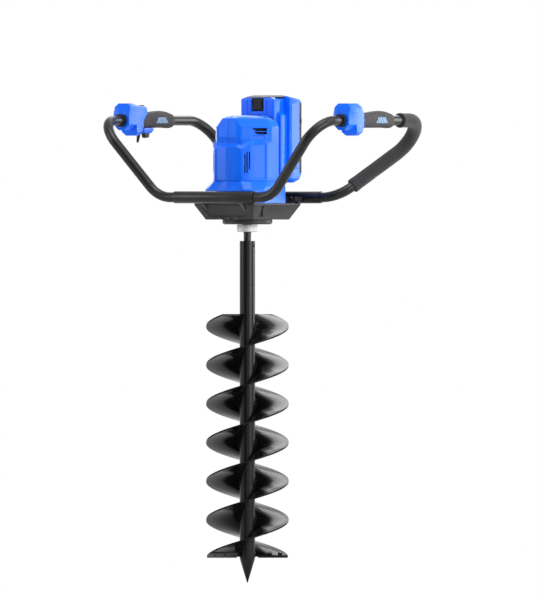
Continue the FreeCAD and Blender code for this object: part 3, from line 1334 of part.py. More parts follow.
def motorCover():
    outside = coverSolid("cover_outside", size(0))
    inside = coverSolid("cover_inside", d.cover_wall)
    shell = cut("cover_shell", outside, inside, *coverVents())
    for label, side in (("left", -1), ("right", 1)):
        low, high = (d.shell_gap / 2, d.cover_half + 1) if side > 0 else (
            -d.cover_half - 1, -d.shell_gap / 2)
        room = box("cover_room_" + label, (low, -d.cover_front - 1, coverLow - 5),
                   (high, d.cover_back + 1, d.cover_top + 1))
        node("motor_cover_" + label, common("motor_cover_%s_half" % label, shell, room))


def coverVents():
    """Three upright slots in each front corner and two flat ones high on each side."""
    tools = []
    near, far = (d.cover_half * 0.5, -d.cover_front), (d.cover_half - 22, -d.cover_front + 22.5)
    across, along = far[0] - near[0], far[1] - near[1]
    facet = math.hypot(across.value, along.value)
    outward = (along / facet, -across / facet)
    for index in range(3):
        share = 0.535 + (index - 1) * d.vent_pitch / facet
        slot = doc.addObject("Part::Box", "front_vent_%d" % index)
        tie(slot, "Length", 16)
        tie(slot, "Width", d.vent_width)
        tie(slot, "Height", d.vent_length)
        turn = math.degrees(math.atan2(outward[1].value, outward[0].value))
        slot.Placement = FreeCAD.Placement(Vector(), Rotation(Vector(0, 0, 1), turn))
        put(slot, near[0] + across * share - outward[0] * 8, near[1] + along * share - outward[1] * 8,
            coverLow + 19)
        tools.append(slot)
    end = -d.cover_front + 61
    for index in range(2):
        low = d.cover_top - 37 - index * 8.5
        start = end - d.side_vent_length + index * 8
        outline = [(start, low + d.side_vent_height), (start + 4.5, low), (end, low),
                   (end, low + d.side_vent_height)]
        tools.append(prism("side_vent_%d" % index, "YZ", outline, d.cover_half - 32, d.cover_half + 2))
    return tools + [mirrored(tool.Name + "_left", tool) for tool in tools]


# ---------------------------------------------------------------- battery and dock
slotPlay = d.part_gap
stemBack = d.battery_front - 0.7 + d.dock_stem_depth
headBack = stemBack + d.dock_head_depth
footTop = d.battery_low - 0.6


def dockRail(name, play, low, high):
    """The T-shaped rail, or the slot for it when play is given."""
    front = d.battery_front - 0.7 - play * 3
    stem, head = d.dock_stem + play, d.dock_head + play
    return prism(name, "XY",
                 bothSides([(stem, front), (stem, stemBack - play), (head, stemBack - play),
                            (head, headBack + play)]), low, high)


def batteryDock():
    plate = box("dock_plate", (-d.front_case_half + 3, d.cover_back + d.seat_gap, footTop - d.dock_foot),
                (d.front_case_half - 3, d.battery_front - 0.6, d.dock_top))
    rail = dockRail("dock_rail", size(0), footTop - d.dock_foot, d.dock_top)
    foot = box("dock_foot_box", (-d.dock_foot_half, d.battery_front - 1, footTop - d.dock_foot),
               (d.dock_foot_half, d.dock_foot_back, footTop))
    skirtRoom = box("dock_skirt_room", (-d.skirt_half, -d.skirt_front, coverTop),
                    (d.skirt_half, d.skirt_back + 0.1, coverLow))
    lowPlate = cut("dock_low_trim", union("dock_solid", plate, rail, foot), skirtRoom)
    blades = [box("dock_blade_slot_%d" % index, contactBlade(index, 0.05, 0)[0],
                  contactBlade(index, 0.05, 0)[1])
              for index in (-1, 0, 1)]
    node("battery_dock", cut("battery_dock_cut", lowPlate, *blades))
    contacts = [box("contact_blade_%d" % (index + 1), *contactBlade(index, 0, 0)) for index in (-1, 0, 1)]
    node("dock_terminals", group("dock_terminals_all", *contacts))


def contactBlade(index, play, reach):
    """Low and high corners of one contact blade, grown by play and reach."""
    x = d.blade_pitch * index
    return (
        (x - d.blade_thick / 2 - play, d.rail_front + 6 - play - reach, footTop - d.dock_foot / 2 - play),
        (x + d.blade_thick / 2 + play, d.rail_front + 18 + play + reach, footTop + d.blade_height + reach))


def batteryFrontCase():
    half, top, low = d.front_case_half, d.battery_front_top, d.battery_low
    bevel = d.case_bevel
    outline = [(-half, low), (half, low), (half, top - bevel * 0.5), (half - bevel, top),
               (-half + bevel, top), (-half, top - bevel * 0.5)]
    tongue = prism("front_case_tongue", "XZ", outline, d.battery_front, d.battery_step)
    rail = d.rail_half
    railOutline = [(-rail, low + 4), (rail, low + 4), (rail, d.rail_top - bevel),
                   (rail - bevel, d.rail_top), (-rail + bevel, d.rail_top), (-rail, d.rail_top - bevel)]
    rails = prism("front_case_rails", "XZ", railOutline, d.rail_front, d.battery_step)
    slot = dockRail("dock_slot", slotPlay, low - 1, d.dock_top + slotPlay)
    contacts = []
    for index in (-1, 0, 1):
        first, last = contactBlade(index, 0.6, 1)
        contacts.append(box("contact_slot_%d" % (index + 1), (first[0], first[1], low - 1), last))
    latchLow = top - d.latch_height
    pocket = box(
        "latch_pocket", (-d.latch_half - slotPlay, d.battery_front - 1, latchLow - slotPlay),
        (d.latch_half + slotPlay, d.battery_front + d.latch_thick + d.latch_travel + slotPlay, top + 1))
    hollow = box("front_case_hollow", (-half + 4, headBack + 4, low + d.blade_height + 8),
                 (half - 4, d.battery_step - 3, top - d.latch_height - 6))
    node("battery_front_case",
         cut("battery_front_case_cut", union("front_case_solid", tongue, rails), slot, pocket, hollow,
             *contacts))


def rearCaseSolid(name, inset):
    half, top, low = d.rear_case_half - inset, d.battery_rear_top - inset, d.battery_low + inset
    front, back = d.battery_step + inset, d.battery_back - inset
    bevel = d.case_bevel
    face = prism(name + "_face", "XZ",
                 [(-half + bevel, low), (half - bevel, low), (half, low + bevel), (half, top - bevel * 0.7),
                  (half - bevel, top), (-half + bevel, top), (-half, top - bevel * 0.7),
                  (-half, low + bevel)], front, back)
    side = prism(name + "_side", "YZ",
                 [(front, low), (back - bevel * 2.2, low), (back - bevel, low + bevel * 0.8),
                  (back, low + bevel * 2.4), (back, top - d.rear_case_slope - bevel * 0.6),
                  (back - bevel * 0.7, top - d.rear_case_slope), (front, top)], -half - 1, half + 1)
    return common(name, face, side)


def batteryRearCase():
    outside = rearCaseSolid("rear_case_outside", size(0))
    inside = rearCaseSolid("rear_case_inside", d.case_wall)
    seat = box("cap_seat", (-d.cap_half - 0.1, d.battery_step - 1, d.battery_rear_top - 5),
               (d.cap_half + 0.1, d.battery_back - 23 + 0.1, d.battery_rear_top + 1))
    roof = box("rear_case_roof", (-d.cap_half - 3, d.battery_step, d.battery_rear_top - 8),
               (d.cap_half + 3, d.battery_back - 20, d.battery_rear_top))
    node("battery_rear_case",
         cut("battery_rear_case_cut",
             union("rear_case_solid", cut("rear_case_hollow", outside, inside),
                   common("rear_case_roof_trim", roof, rearCaseSolid("rear_case_again", size(0)))), seat))


def batteryCap():
    """The black carrying cap across the top of both cases."""
    half, top = d.cap_half, d.battery_rear_top + d.cap_rise - 2
    front, back = d.battery_front + d.latch_thick + d.latch_travel + 4, d.battery_back - 23
    seatRear = d.battery_rear_top - 5 + d.seat_gap
    seatFront = d.battery_front_top + d.seat_gap
    side = prism("cap_side", "YZ",
                 [(front, seatFront), (d.battery_step + d.seat_gap, seatFront),
                  (d.battery_step + d.seat_gap, seatRear), (back, seatRear), (back, top - 3),
                  (back - 12, top), (front + 16, top), (front, seatFront + 1)], -half, half)
    face = prism("cap_face", "XZ",
                 [(-half, seatRear - 1), (half, seatRear - 1), (half, d.battery_rear_top - 2),
                  (half - 14, top), (-half + 14, top), (-half, d.battery_rear_top - 2)], front - 1,
                 back + 1)
    groove = box("cap_groove", (-half + 18, front + 22, top - 2), (half - 18, back - 14, top + 1))
    node("battery_cap", cut("battery_cap_cut", common("cap_solid", side, face), groove))


def batteryLatch():
    """Release button in the front of the battery; it is pressed towards the rear."""
    half, top = d.latch_half, d.battery_front_top
    low = top - d.latch_height
    front = d.battery_front - 0.5
    back = d.battery_front + d.latch_thick
    outline = [(-half + 2, low), (half - 2, low), (half, top - 0.5), (-half, top - 0.5)]
    face = prism("latch_face", "XZ", outline, front, back)
    dish = rod("latch_dish", 30, -half - 2, half + 2, (front - 28.6, (low + top) / 2), "X")
    node("battery_latch", cut("battery_latch_cut", face, dish))


def batteryCells():
    cells = []
    for row in range(CELL_ROWS):
        for column in range(2):
            for side in (-1, 1):
                y = d.battery_step + d.case_wall + 1 + d.cell_radius + column * (d.cell_radius * 2 + 0.6)
                z = d.battery_low + d.case_wall + 26 + d.cell_radius + row * (d.cell_radius * 2 + 6)
                low = 0.6 if side > 0 else -d.cell_length - 0.6
                cells.append(rod("cell_%d_%d_%d" % (row, column, side + 1), d.cell_radius, low,
                                 size(low) + d.cell_length, (y, z), "X"))
    holders = []
    for side in (-1, 1):
        x = (d.cell_length * 0.5) * side
        holders.append(box("cell_holder_%d" % (side + 1),
                           (x - 4, d.battery_step + d.case_wall + d.seat_gap,
                            d.battery_low + d.case_wall + d.seat_gap),
                           (x + 4, d.battery_back - d.case_wall - 22, d.battery_rear_top - 14)))
    node("battery_cells", union("battery_cells_all", *(cells + holders)))


# ---------------------------------------------------------------- bit
def bitTube():
    inner = d.bit_tube_radius - d.bit_tube_wall
    pipe = ring("bit_pipe", inner, d.bit_tube_radius, -d.bit_low, -d.bit_top)
    pinHole = rod("tube_pin_hole", d.cross_pin_radius + d.press_play, -30, 30, (0, -d.pin_drop), "X")
    node("bit_tube", cut("bit_tube_cut", pipe, pinHole))
    socket = ring("socket_ring", d.stub_radius + d.slip_fit, inner - d.press_play,
                  -d.bit_top - d.socket_depth, -d.bit_top)
    node("bit_socket",
         cut("bit_socket_cut", socket,
             rod("socket_pin_hole", d.cross_pin_radius + d.press_play, -30, 30, (0, -d.pin_drop), "X")))
    reach = d.bit_tube_radius - d.cross_pin_recess
    node("cross_pin",
         ring("cross_pin_ring", d.cross_pin_radius * 0.5, d.cross_pin_radius, -reach, reach,
              (0, -d.pin_drop), "X"))
    node("pilot_point",
         turned("pilot_point_turned",
                [(0, -d.bit_low - d.point_length), (1, -d.bit_low - d.point_length + 1),
                 (d.bit_tube_radius, -d.bit_low - d.seat_gap),
                 (inner - d.press_play, -d.bit_low - d.seat_gap),
                 (inner - d.press_play, -d.bit_low + d.point_plug), (0, -d.bit_low + d.point_plug)]))


def helicoid(name, inner, outer, low, thick, rise, angle):
    """A flat radial strip carried up a right-hand screw about the drive axis."""
    body = doc.addObject("PartDesign::Body", name)
    sketch = outlineSketch(body, "XZ",
                           [(inner, low), (outer, low), (outer, low + thick), (inner, low + thick)])
    screwFeature = body.newObject("PartDesign::AdditiveHelix", name + "_screw")
    screwFeature.Profile = sketch
    screwFeature.ReferenceAxis = (sketch, ["V_Axis"])
    screwFeature.Mode = 0
    tie(screwFeature, "Pitch", d.flight_pitch)
    tie(screwFeature, "Height", rise)
    screwFeature.LeftHanded = False
    body.Placement = FreeCAD.Placement(Vector(), Rotation(Vector(0, 0, 1), size(angle).value))
    return body


boltSpots = [0.42, 0.78]


def bladeBolt(name, start, share, radius, low, high, prefix):
    """A rod square to the flight, part of the way along the blade."""
    reach = d.blade_root + (d.flight_radius - d.blade_root) * share
    turn = d.blade_angle / 2
    angle = math.radians(start.value + turn.value)
    middle = -d.flight_low + d.blade_plate + d.flight_pitch * turn / 360
    slope = math.degrees(math.atan2(d.flight_pitch.value / 2 / math.pi, reach.value))
    thing = doc.addObject("Part::Cylinder", prefix + name)
    tie(thing, "Radius", radius)
    tie(thing, "Height", size(high) - low)
    tilt = Rotation(Vector(0, 0, 1), math.degrees(angle)).multiply(Rotation(Vector(1, 0, 0), slope))
    thing.Placement = FreeCAD.Placement(Vector(), tilt)
    lift = tilt.multVec(Vector(0, 0, 1))
    return put(thing, reach * math.cos(angle) + size(low) * lift.x,
               reach * math.sin(angle) + size(low) * lift.y, middle + size(low) * lift.z)


def flights():
    bladeParts, bolts = [], []
    rise = -d.flight_top - (-d.flight_low + d.blade_plate) - d.flight_thick
    for index, letter in enumerate("ab"):
        start = d.flight_angle + 180 * index
        holes = [bladeBolt("%s_%d" % (letter, spot), start, share, d.blade_bolt + d.hole_play, -8, 9,
                           "flight_hole_") for spot, share in enumerate(boltSpots)]
        flight = helicoid("flight_%s_screw" % letter, d.bit_tube_radius + d.seat_gap, d.flight_radius,
                          -d.flight_low + d.blade_plate + d.seat_gap, d.flight_thick, rise, start)
        node("flight_" + letter, cut("flight_%s_cut" % letter, flight, *holes))
        bladeRise = d.flight_pitch * d.blade_angle / 360
        blade = helicoid("blade_%s_screw" % letter, d.blade_root, d.flight_radius, -d.flight_low,
                         d.blade_plate, bladeRise, start)
        holes = [bladeBolt("%s_%d" % (letter, spot), start, share, d.blade_bolt + d.hole_play, -8, 9,
                           "blade_hole_") for spot, share in enumerate(boltSpots)]
        bladeParts.append(cut("blade_%s_cut" % letter, blade, *holes))
        for spot, share in enumerate(boltSpots):
            label = "%s_%d" % (letter, spot)
            shank = bladeBolt(label, start, share, d.blade_bolt, -d.blade_plate - 1, d.flight_thick + 3,
                              "bolt_shank_")
            head = bladeBolt(label, start, share, d.blade_bolt * 1.8, d.flight_thick + 0.6,
                             d.flight_thick + 3.6, "bolt_head_")
            bolts.append(union("blade_bolt_" + label, shank, head))
    node("cutting_blades", group("cutting_blades_all", *bladeParts))
    node("blade_bolts", group("blade_bolts_all", *bolts))


# ---------------------------------------------------------------- assembly
handleTube()
sleeves()
sleeveBolts()
foamPad()
gripRubber("grip_right", 1, -d.guard_front + d.guard_length + 0.3, size(0))
gripRubber("grip_left", -1, controlBack + 0.3, d.control_undercut)
gripInserts()
guardShells("guard_shell", 1, d.guard_length, guardProfile, -d.guard_front + d.guard_length, [])
controlShells()
grommets()
lockButton()
triggerHousing()
trigger()
triggerSpring()
directionLever()
shellScrews()
gearboxHousing()
gearboxCover()
flange()
node("gearbox_screws", group("gearbox_screws_all", *gearboxScrews()))
bearings()
drive()
outputSpindle()
motor()
baseSkirt()
motorCover()
batteryDock()
batteryFrontCase()
batteryRearCase()
batteryCap()
batteryLatch()
batteryCells()
bitTube()
flights()

doc.recompute()

for thing in doc.Objects:
    if "Invalid" in thing.State or "Error" in thing.State:
        raise RuntimeError("%s failed: %s" % (thing.Name, thing.State))
for name, thing in nodes.items():
    if thing.Shape.isNull() or not thing.Shape.isValid() or thing.Shape.Volume <= 0:
        raise RuntimeError("%s has no valid solid" % name)

os.makedirs("parts", exist_ok=True)
for name, thing in nodes.items():
    thing.Shape.exportStep("parts/%s.step" % name)
    print("%-20s %3d solids %12.1f mm3" % (name, len(thing.Shape.Solids), thing.Shape.Volume))
print(len(nodes), "nodes")
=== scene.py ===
import json
import math

import bmesh
import bpy
import numpy as np
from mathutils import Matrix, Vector


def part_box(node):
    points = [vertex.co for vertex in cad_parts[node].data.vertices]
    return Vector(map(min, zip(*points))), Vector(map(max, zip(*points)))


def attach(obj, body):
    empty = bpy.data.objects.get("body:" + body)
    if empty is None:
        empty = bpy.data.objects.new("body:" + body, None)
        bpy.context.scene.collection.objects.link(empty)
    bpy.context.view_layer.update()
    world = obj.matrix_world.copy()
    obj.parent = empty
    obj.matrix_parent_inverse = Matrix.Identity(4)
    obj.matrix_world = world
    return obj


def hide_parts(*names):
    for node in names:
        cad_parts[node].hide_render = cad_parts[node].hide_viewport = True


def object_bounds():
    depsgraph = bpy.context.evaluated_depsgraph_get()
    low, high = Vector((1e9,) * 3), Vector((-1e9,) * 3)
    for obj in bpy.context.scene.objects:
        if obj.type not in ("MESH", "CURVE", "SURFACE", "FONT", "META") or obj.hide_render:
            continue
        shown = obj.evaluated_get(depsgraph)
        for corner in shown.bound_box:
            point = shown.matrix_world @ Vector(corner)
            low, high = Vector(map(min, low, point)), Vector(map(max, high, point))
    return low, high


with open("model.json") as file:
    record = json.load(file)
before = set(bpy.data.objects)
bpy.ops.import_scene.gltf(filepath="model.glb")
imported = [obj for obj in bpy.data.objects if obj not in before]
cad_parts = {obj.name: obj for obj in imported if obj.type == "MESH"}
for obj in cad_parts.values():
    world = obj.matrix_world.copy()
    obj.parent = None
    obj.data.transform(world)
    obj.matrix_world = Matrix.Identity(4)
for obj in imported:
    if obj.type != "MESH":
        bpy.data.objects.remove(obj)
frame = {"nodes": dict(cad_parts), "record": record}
cadBounds = [list(corner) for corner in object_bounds()]
scene = bpy.context.scene
slotOf = {part["node"]: part["material_slot"] for part in frame["record"]["subparts"]}
bodyOf = {node: body for body, nodes in frame["record"]["behaviour"]["bodies"].items() for node in nodes}


def span(node):
    # lowest and highest corner of a CAD node, as arrays in metres
    low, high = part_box(node)
    return np.array(low), np.array(high)


def linked(name, data):
    # a new object in the scene
    item = bpy.data.objects.new(name, data)
    scene.collection.objects.link(item)
    return item


def unit(vector):
    # a vector, or each row of an array, brought to length 1
    return vector / np.linalg.norm(vector, axis=-1, keepdims=True)


# shader helpers

class Value:
    # wraps a socket, so that sums and products of it add Math nodes
    def __init__(self, shader, socket):
        self.shader = shader
        self.socket = socket

    def math(self, operation, *others):
        inputs = dict(enumerate((self, *others)))
        return self.shader.node("ShaderNodeMath", {"operation": operation}, inputs)

    def __add__(self, other):
        return self.math("ADD", other)

    def __mul__(self, other):
        return self.math("MULTIPLY", other)

    __radd__ = __add__
    __rmul__ = __mul__

    def step(self, low, high):
        # rises smoothly from 0 at low to 1 at high
        return self.shader.node("ShaderNodeMapRange", {"interpolation_type": "SMOOTHSTEP"},
                                {"Value": self, "From Min": low, "From Max": high})


class Shader:
    # one material on a Principled shader, with its fixed values set on the shader's own sockets
    def __init__(self, name, **fixed):
        self.material = bpy.data.materials.new(name)
        self.material.use_nodes = True
        self.tree = self.material.node_tree
        self.surface = self.tree.nodes["Principled BSDF"]
        self.material.diffuse_color = (*fixed.get("Base_Color", (0.5, 0.5, 0.5)), 1)
        for socket, value in fixed.items():
            if socket == "Base_Color":
                value = (*value, 1)
            self.surface.inputs[socket.replace("_", " ")].default_value = value
        self.place = self.node("ShaderNodeTexCoord", output="Object")

    def node(self, kind, settings=None, inputs=None, output=0):
        # adds a node: first its settings, then the values or links of its sockets
        item = self.tree.nodes.new(kind)
        for key, value in (settings or {}).items():
            setattr(item, key, value)
        for key, value in (inputs or {}).items():
            if isinstance(value, Value):
                self.tree.links.new(value.socket, item.inputs[key])
            else:
                item.inputs[key].default_value = value
        return Value(self, item.outputs[output])

    def noise(self, scale, detail=3.0, roughness=0.55, place=None):
        return self.node("ShaderNodeTexNoise", None, {"Vector": place or self.place, "Scale": scale,
                                                      "Detail": detail, "Roughness": roughness})

    def cells(self, scale, output="Distance"):
        return self.node("ShaderNodeTexVoronoi", None, {"Vector": self.place, "Scale": scale}, output)

    def stretched(self, *scale):
        # object coordinates scaled unevenly, for brushed or drawn surfaces
        return self.node("ShaderNodeMapping", None, {"Vector": self.place, "Scale": scale})

    def axes(self):
        parts = self.node("ShaderNodeSeparateXYZ", None, {"Vector": self.place})
        return [Value(self, output) for output in parts.socket.node.outputs]

    def blend(self, factor, first, second):
        # mixes two colours, each of which is a tuple or a link
        inputs = {"Factor": factor}
        for key, color in ((6, first), (7, second)):
            inputs[key] = color if isinstance(color, Value) else (*color, 1)
        return self.node("ShaderNodeMix", {"data_type": "RGBA"}, inputs, 2)

    def drive(self, socket, value):
        self.tree.links.new(value.socket, self.surface.inputs[socket])

    def bump(self, height, strength, distance):
        normal = self.node("ShaderNodeBump", None, {"Height": height, "Strength": strength, "Distance": distance})
        self.drive("Normal", normal)


# materials

finishes = {
    "blue": (0.004, 0.132, 0.86), "blueWorn": (0.035, 0.26, 0.98),
    "blueInsert": (0.034, 0.095, 0.20), "insertStripe": (0.16, 0.33, 0.56),
    "rubber": (0.034, 0.034, 0.037), "rubberWorn": (0.074, 0.067, 0.062),
    "foam": (0.014, 0.014, 0.0145), "foamCell": (0.008, 0.008, 0.0085), "foamSkin": (0.026, 0.026, 0.027),
    "tube": (0.007, 0.007, 0.0075), "cast": (0.017, 0.017, 0.0175), "castHighlight": (0.062, 0.062, 0.063),
    "bit": (0.0045, 0.0045, 0.0048), "bitScuff": (0.020, 0.0195, 0.019), "bitBare": (0.034, 0.034, 0.035),
    "steel": (0.60, 0.60, 0.61), "hub": (0.66, 0.66, 0.67), "zinc": (0.46, 0.47, 0.49), "gear": (0.30, 0.30, 0.31),
    "copper": (0.72, 0.30, 0.12), "copperDark": (0.30, 0.10, 0.035), "contact": (0.80, 0.62, 0.28),
    "sleeve": (0.05, 0.22, 0.07), "sleeveDark": (0.03, 0.15, 0.05),
    "board": (0.02, 0.06, 0.035), "boardTrace": (0.03, 0.10, 0.055), "latchWorn": (0.022, 0.021, 0.018),
    "paper": (0.86, 0.86, 0.86), "felt": (0.004, 0.004, 0.004),
}


def bluePlastic():
    # satin moulded plastic: fine spark-eroded grain, faint flow marks, rubbed lighter patches
    s = Shader("blue_plastic", Base_Color=finishes["blue"], Roughness=0.26, Specular_IOR_Level=0.17)
    flow = s.noise(9, 3)
    rub = s.noise(34, 6, 0.65).step(0.60, 0.78)
    tint = s.blend(flow.step(0.25, 0.75), finishes["blue"], tuple(c * 1.16 for c in finishes["blue"]))
    s.drive("Base Color", s.blend(rub * 0.22, tint, finishes["blueWorn"]))
    s.drive("Roughness", 0.22 + flow * 0.07 + rub * 0.08)
    s.bump(s.noise(2600, 2, 0.5) * 0.7 + s.cells(1900) * 0.3, 0.10, 0.0004)
    return s.material


def blackPlastic(name="black_plastic", shade=0.011, level=0.2):
    # satin moulded plastic that is almost black, with faint lighter flow marks
    plain, light = (shade, shade, shade * 1.1), (shade * 2, shade * 2, shade * 2.1)
    s = Shader(name, Base_Color=plain, Roughness=0.42, Specular_IOR_Level=level)
    flow = s.noise(24, 4)
    s.drive("Base Color", s.blend(flow.step(0.3, 0.8), plain, light))
    s.drive("Roughness", 0.36 + flow * 0.14)
    s.bump(s.noise(2400, 2), 0.14, 0.0004)
    return s.material


def gripRubber():
    # soft rubber: a pebbled skin, greyer where hands rub it
    s = Shader("grip_rubber", Base_Color=finishes["rubber"], Roughness=0.72, Specular_IOR_Level=0.35)
    worn = s.noise(70, 6, 0.7).step(0.42, 0.66)
    s.drive("Base Color", s.blend(worn, finishes["rubber"], finishes["rubberWorn"]))
    s.drive("Roughness", 0.66 + worn * 0.16)
    s.bump(s.cells(1150) * 0.8 + s.noise(3000, 2) * 0.2, 0.35, 0.0006)
    return s.material


def blueInsert():
    # smooth insert with slanting stripes
    s = Shader("blue_insert", Base_Color=finishes["blueInsert"], Roughness=0.45)
    y, z = s.axes()[1:]
    stripe = ((y + z * 0.7) * 560).math("SINE").step(-0.1, 0.5)
    s.drive("Base Color", s.blend(stripe, finishes["blueInsert"], finishes["insertStripe"]))
    s.drive("Roughness", 0.40 + stripe * 0.15)
    s.bump(s.noise(2200, 2), 0.12, 0.0004)
    return s.material


def closedFoam():
    # closed-cell foam: tiny open cells on a skin with shallow dents
    s = Shader("foam", Base_Color=finishes["foam"], Roughness=0.92, Specular_IOR_Level=0.25, Sheen_Weight=0.15,
               Sheen_Roughness=0.6)
    cell = s.cells(620)
    soft = s.noise(38, 4)
    s.drive("Base Color", s.blend(cell.step(0.05, 0.45), finishes["foamCell"], finishes["foamSkin"]))
    s.drive("Roughness", 0.84 + soft * 0.14)
    s.bump(cell * 0.7 + s.noise(1500, 4, 0.6) * 0.5 + soft * 1.4, 0.55, 0.0011)
    return s.material


def powderCoat(name, color, roughness, level=0.2, grain=700, depth=0.16):
    # powder coat on metal: orange peel, small rubbed patches
    s = Shader(name, Base_Color=finishes[color], Roughness=roughness, Specular_IOR_Level=level)
    patch = s.noise(17, 5, 0.6)
    light = tuple(c * 1.6 + 0.004 for c in finishes[color])
    s.drive("Base Color", s.blend(patch.step(0.40, 0.72), finishes[color], light))
    s.drive("Roughness", roughness - 0.05 + patch * 0.12)
    s.bump(s.noise(grain, 3, 0.5), depth, 0.0008)
    return s.material


def bitPaint(name, level, roughness, waves):
    # black enamel over forged and welded steel: slight waves, soil scuffs, fine scratches round the rim
    s = Shader(name, Base_Color=finishes["bit"], Roughness=roughness, Specular_IOR_Level=level)
    x, y = s.axes()[:2]
    radius = (x * x + y * y).math("SQRT")
    scuff = s.noise(28, 8, 0.75).step(0.60, 0.80)
    scratch = s.noise(1, 4, 0.5, s.stretched(160, 160, 900)).step(0.62, 0.70)
    rim = radius.step(0.085, 0.1015) * s.noise(60, 5, 0.7).step(0.40, 0.65)
    paint = s.blend(scuff * 0.5, finishes["bit"], finishes["bitScuff"])
    s.drive("Base Color", s.blend(scratch * 0.25 + rim * 0.35, paint, finishes["bitBare"]))
    s.drive("Roughness", roughness + scuff * 0.18 + rim * 0.10)
    s.bump(s.noise(60, 3, 0.5) * 1.6 + s.noise(300, 4, 0.55) * 0.3 + scuff * 0.2, waves, 0.0012)
    return s.material


def machinedSteel(name, color, roughness, brushed=(60, 60, 2600), depth=0.12):
    # turned or drawn metal: fine lines round the part, faint stains
    s = Shader(name, Base_Color=finishes[color], Roughness=roughness, Metallic=1.0)
    lines = s.noise(1, 3, 0.5, s.stretched(*brushed))
    stain = s.noise(26, 4)
    dark = tuple(c * 0.72 for c in finishes[color])
    s.drive("Base Color", s.blend(stain.step(0.35, 0.75), finishes[color], dark))
    s.drive("Roughness", roughness - 0.07 + lines * 0.12 + stain * 0.06)
    s.bump(lines, depth, 0.0003)
    return s.material


def copperWinding():
    # enamelled wire, laid in slanting turns
    s = Shader("winding", Base_Color=finishes["copper"], Roughness=0.32, Metallic=0.8, Coat_Weight=0.4)
    wire = s.node("ShaderNodeTexWave", {"bands_direction": "DIAGONAL"}, {"Vector": s.place, "Scale": 420.0,
                                                                        "Distortion": 1.5})
    s.drive("Base Color", s.blend(wire, finishes["copperDark"], finishes["copper"]))
    s.bump(wire, 0.5, 0.0008)
    return s.material


def cellSleeve():
    # shrunk plastic sleeve of a battery cell
    s = Shader("cell_sleeve", Base_Color=finishes["sleeve"], Roughness=0.3)
    shade = s.noise(30, 2)
    s.drive("Base Color", s.blend(shade, finishes["sleeve"], finishes["sleeveDark"]))
    s.drive("Roughness", 0.25 + shade * 0.12)
    return s.material


def circuitBoard():
    # lacquered board with raised traces
    s = Shader("circuit", Base_Color=finishes["board"], Roughness=0.4)
    s.drive("Base Color", s.blend(s.noise(120, 2).step(0.48, 0.52), finishes["board"], finishes["boardTrace"]))
    s.bump(s.cells(240, "Color"), 0.2, 0.0005)
    return s.material


materials = {
    "blue_plastic": bluePlastic(), "black_plastic": blackPlastic(), "grip_rubber": gripRubber(),
    "blue_insert": blueInsert(), "foam": closedFoam(),
    "black_tube": powderCoat("black_tube", "tube", 0.30, 0.3, 500, 0.07),
    "black_housing": powderCoat("black_housing", "cast", 0.42, 0.35, 480, 0.3),
    "bit_paint": bitPaint("bit_paint", 0.075, 0.17, 0.1),
    "steel": machinedSteel("steel", "steel", 0.45), "zinc": machinedSteel("zinc", "zinc", 0.34, (90, 90, 900)),
    "gear_steel": machinedSteel("gear_steel", "gear", 0.38), "winding": copperWinding(),
    "contact": machinedSteel("contact", "contact", 0.3, (900, 900, 60)),
    "cast": machinedSteel("cast", "steel", 0.5, (500, 500, 500)), "cell_sleeve": cellSleeve(),
    "circuit": circuitBoard(),
}
print("materials", len(materials))


# mesh helpers

def addPiece(name, mesh, node, slot=None, replaced=True, finish=None):
    # links a mesh as a piece that rides with a node's body, and stands for that node unless replaced is false
    item = linked(name, mesh)
    slot = slot or slotOf[node]
    mesh.materials.clear()
    mesh.materials.append(finish or materials[slot])
    mesh.shade_smooth()
    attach(item, bodyOf[node])
    if replaced:
        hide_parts(node)
    return item


# merge and wide in metres, flat and angle in degrees
softening = {"merge": 0.00002, "flat": 1.2, "angle": 32, "wide": 0.004, "segments": 3, "wideSegments": 4}


def softened(node, width, squeeze=None):
    # a merged copy of a CAD node whose edges are rounded; squeeze shortens what lies past a place along y
    m = softening
    mesh = frame["nodes"][node].data.copy()
    form = bmesh.new()
    form.from_mesh(mesh)
    if squeeze:
        place, share, side = squeeze
        for vert in form.verts:
            past = (vert.co.y - place) * side
            vert.co.y -= max(past, 0) * (1 - share) * side
    bmesh.ops.remove_doubles(form, verts=form.verts, dist=m["merge"])
    bmesh.ops.dissolve_limit(form, angle_limit=math.radians(m["flat"]), verts=form.verts, edges=form.edges)
    form.to_mesh(mesh)
    form.free()
    item = addPiece(node + "_moulded", mesh, node, finish=ownFinish.get(node))
    edge = item.modifiers.new("rounding", "BEVEL")
    edge.width = width
    edge.segments = m["wideSegments"] if width > m["wide"] else m["segments"]
    edge.limit_method = "ANGLE"
    edge.angle_limit = math.radians(m["angle"])
    edge.harden_normals = True
    edge.use_clamp_overlap = True


def steps(count):
    # shares of the points that divide a run into count equal parts
    return np.arange(1, count) / count


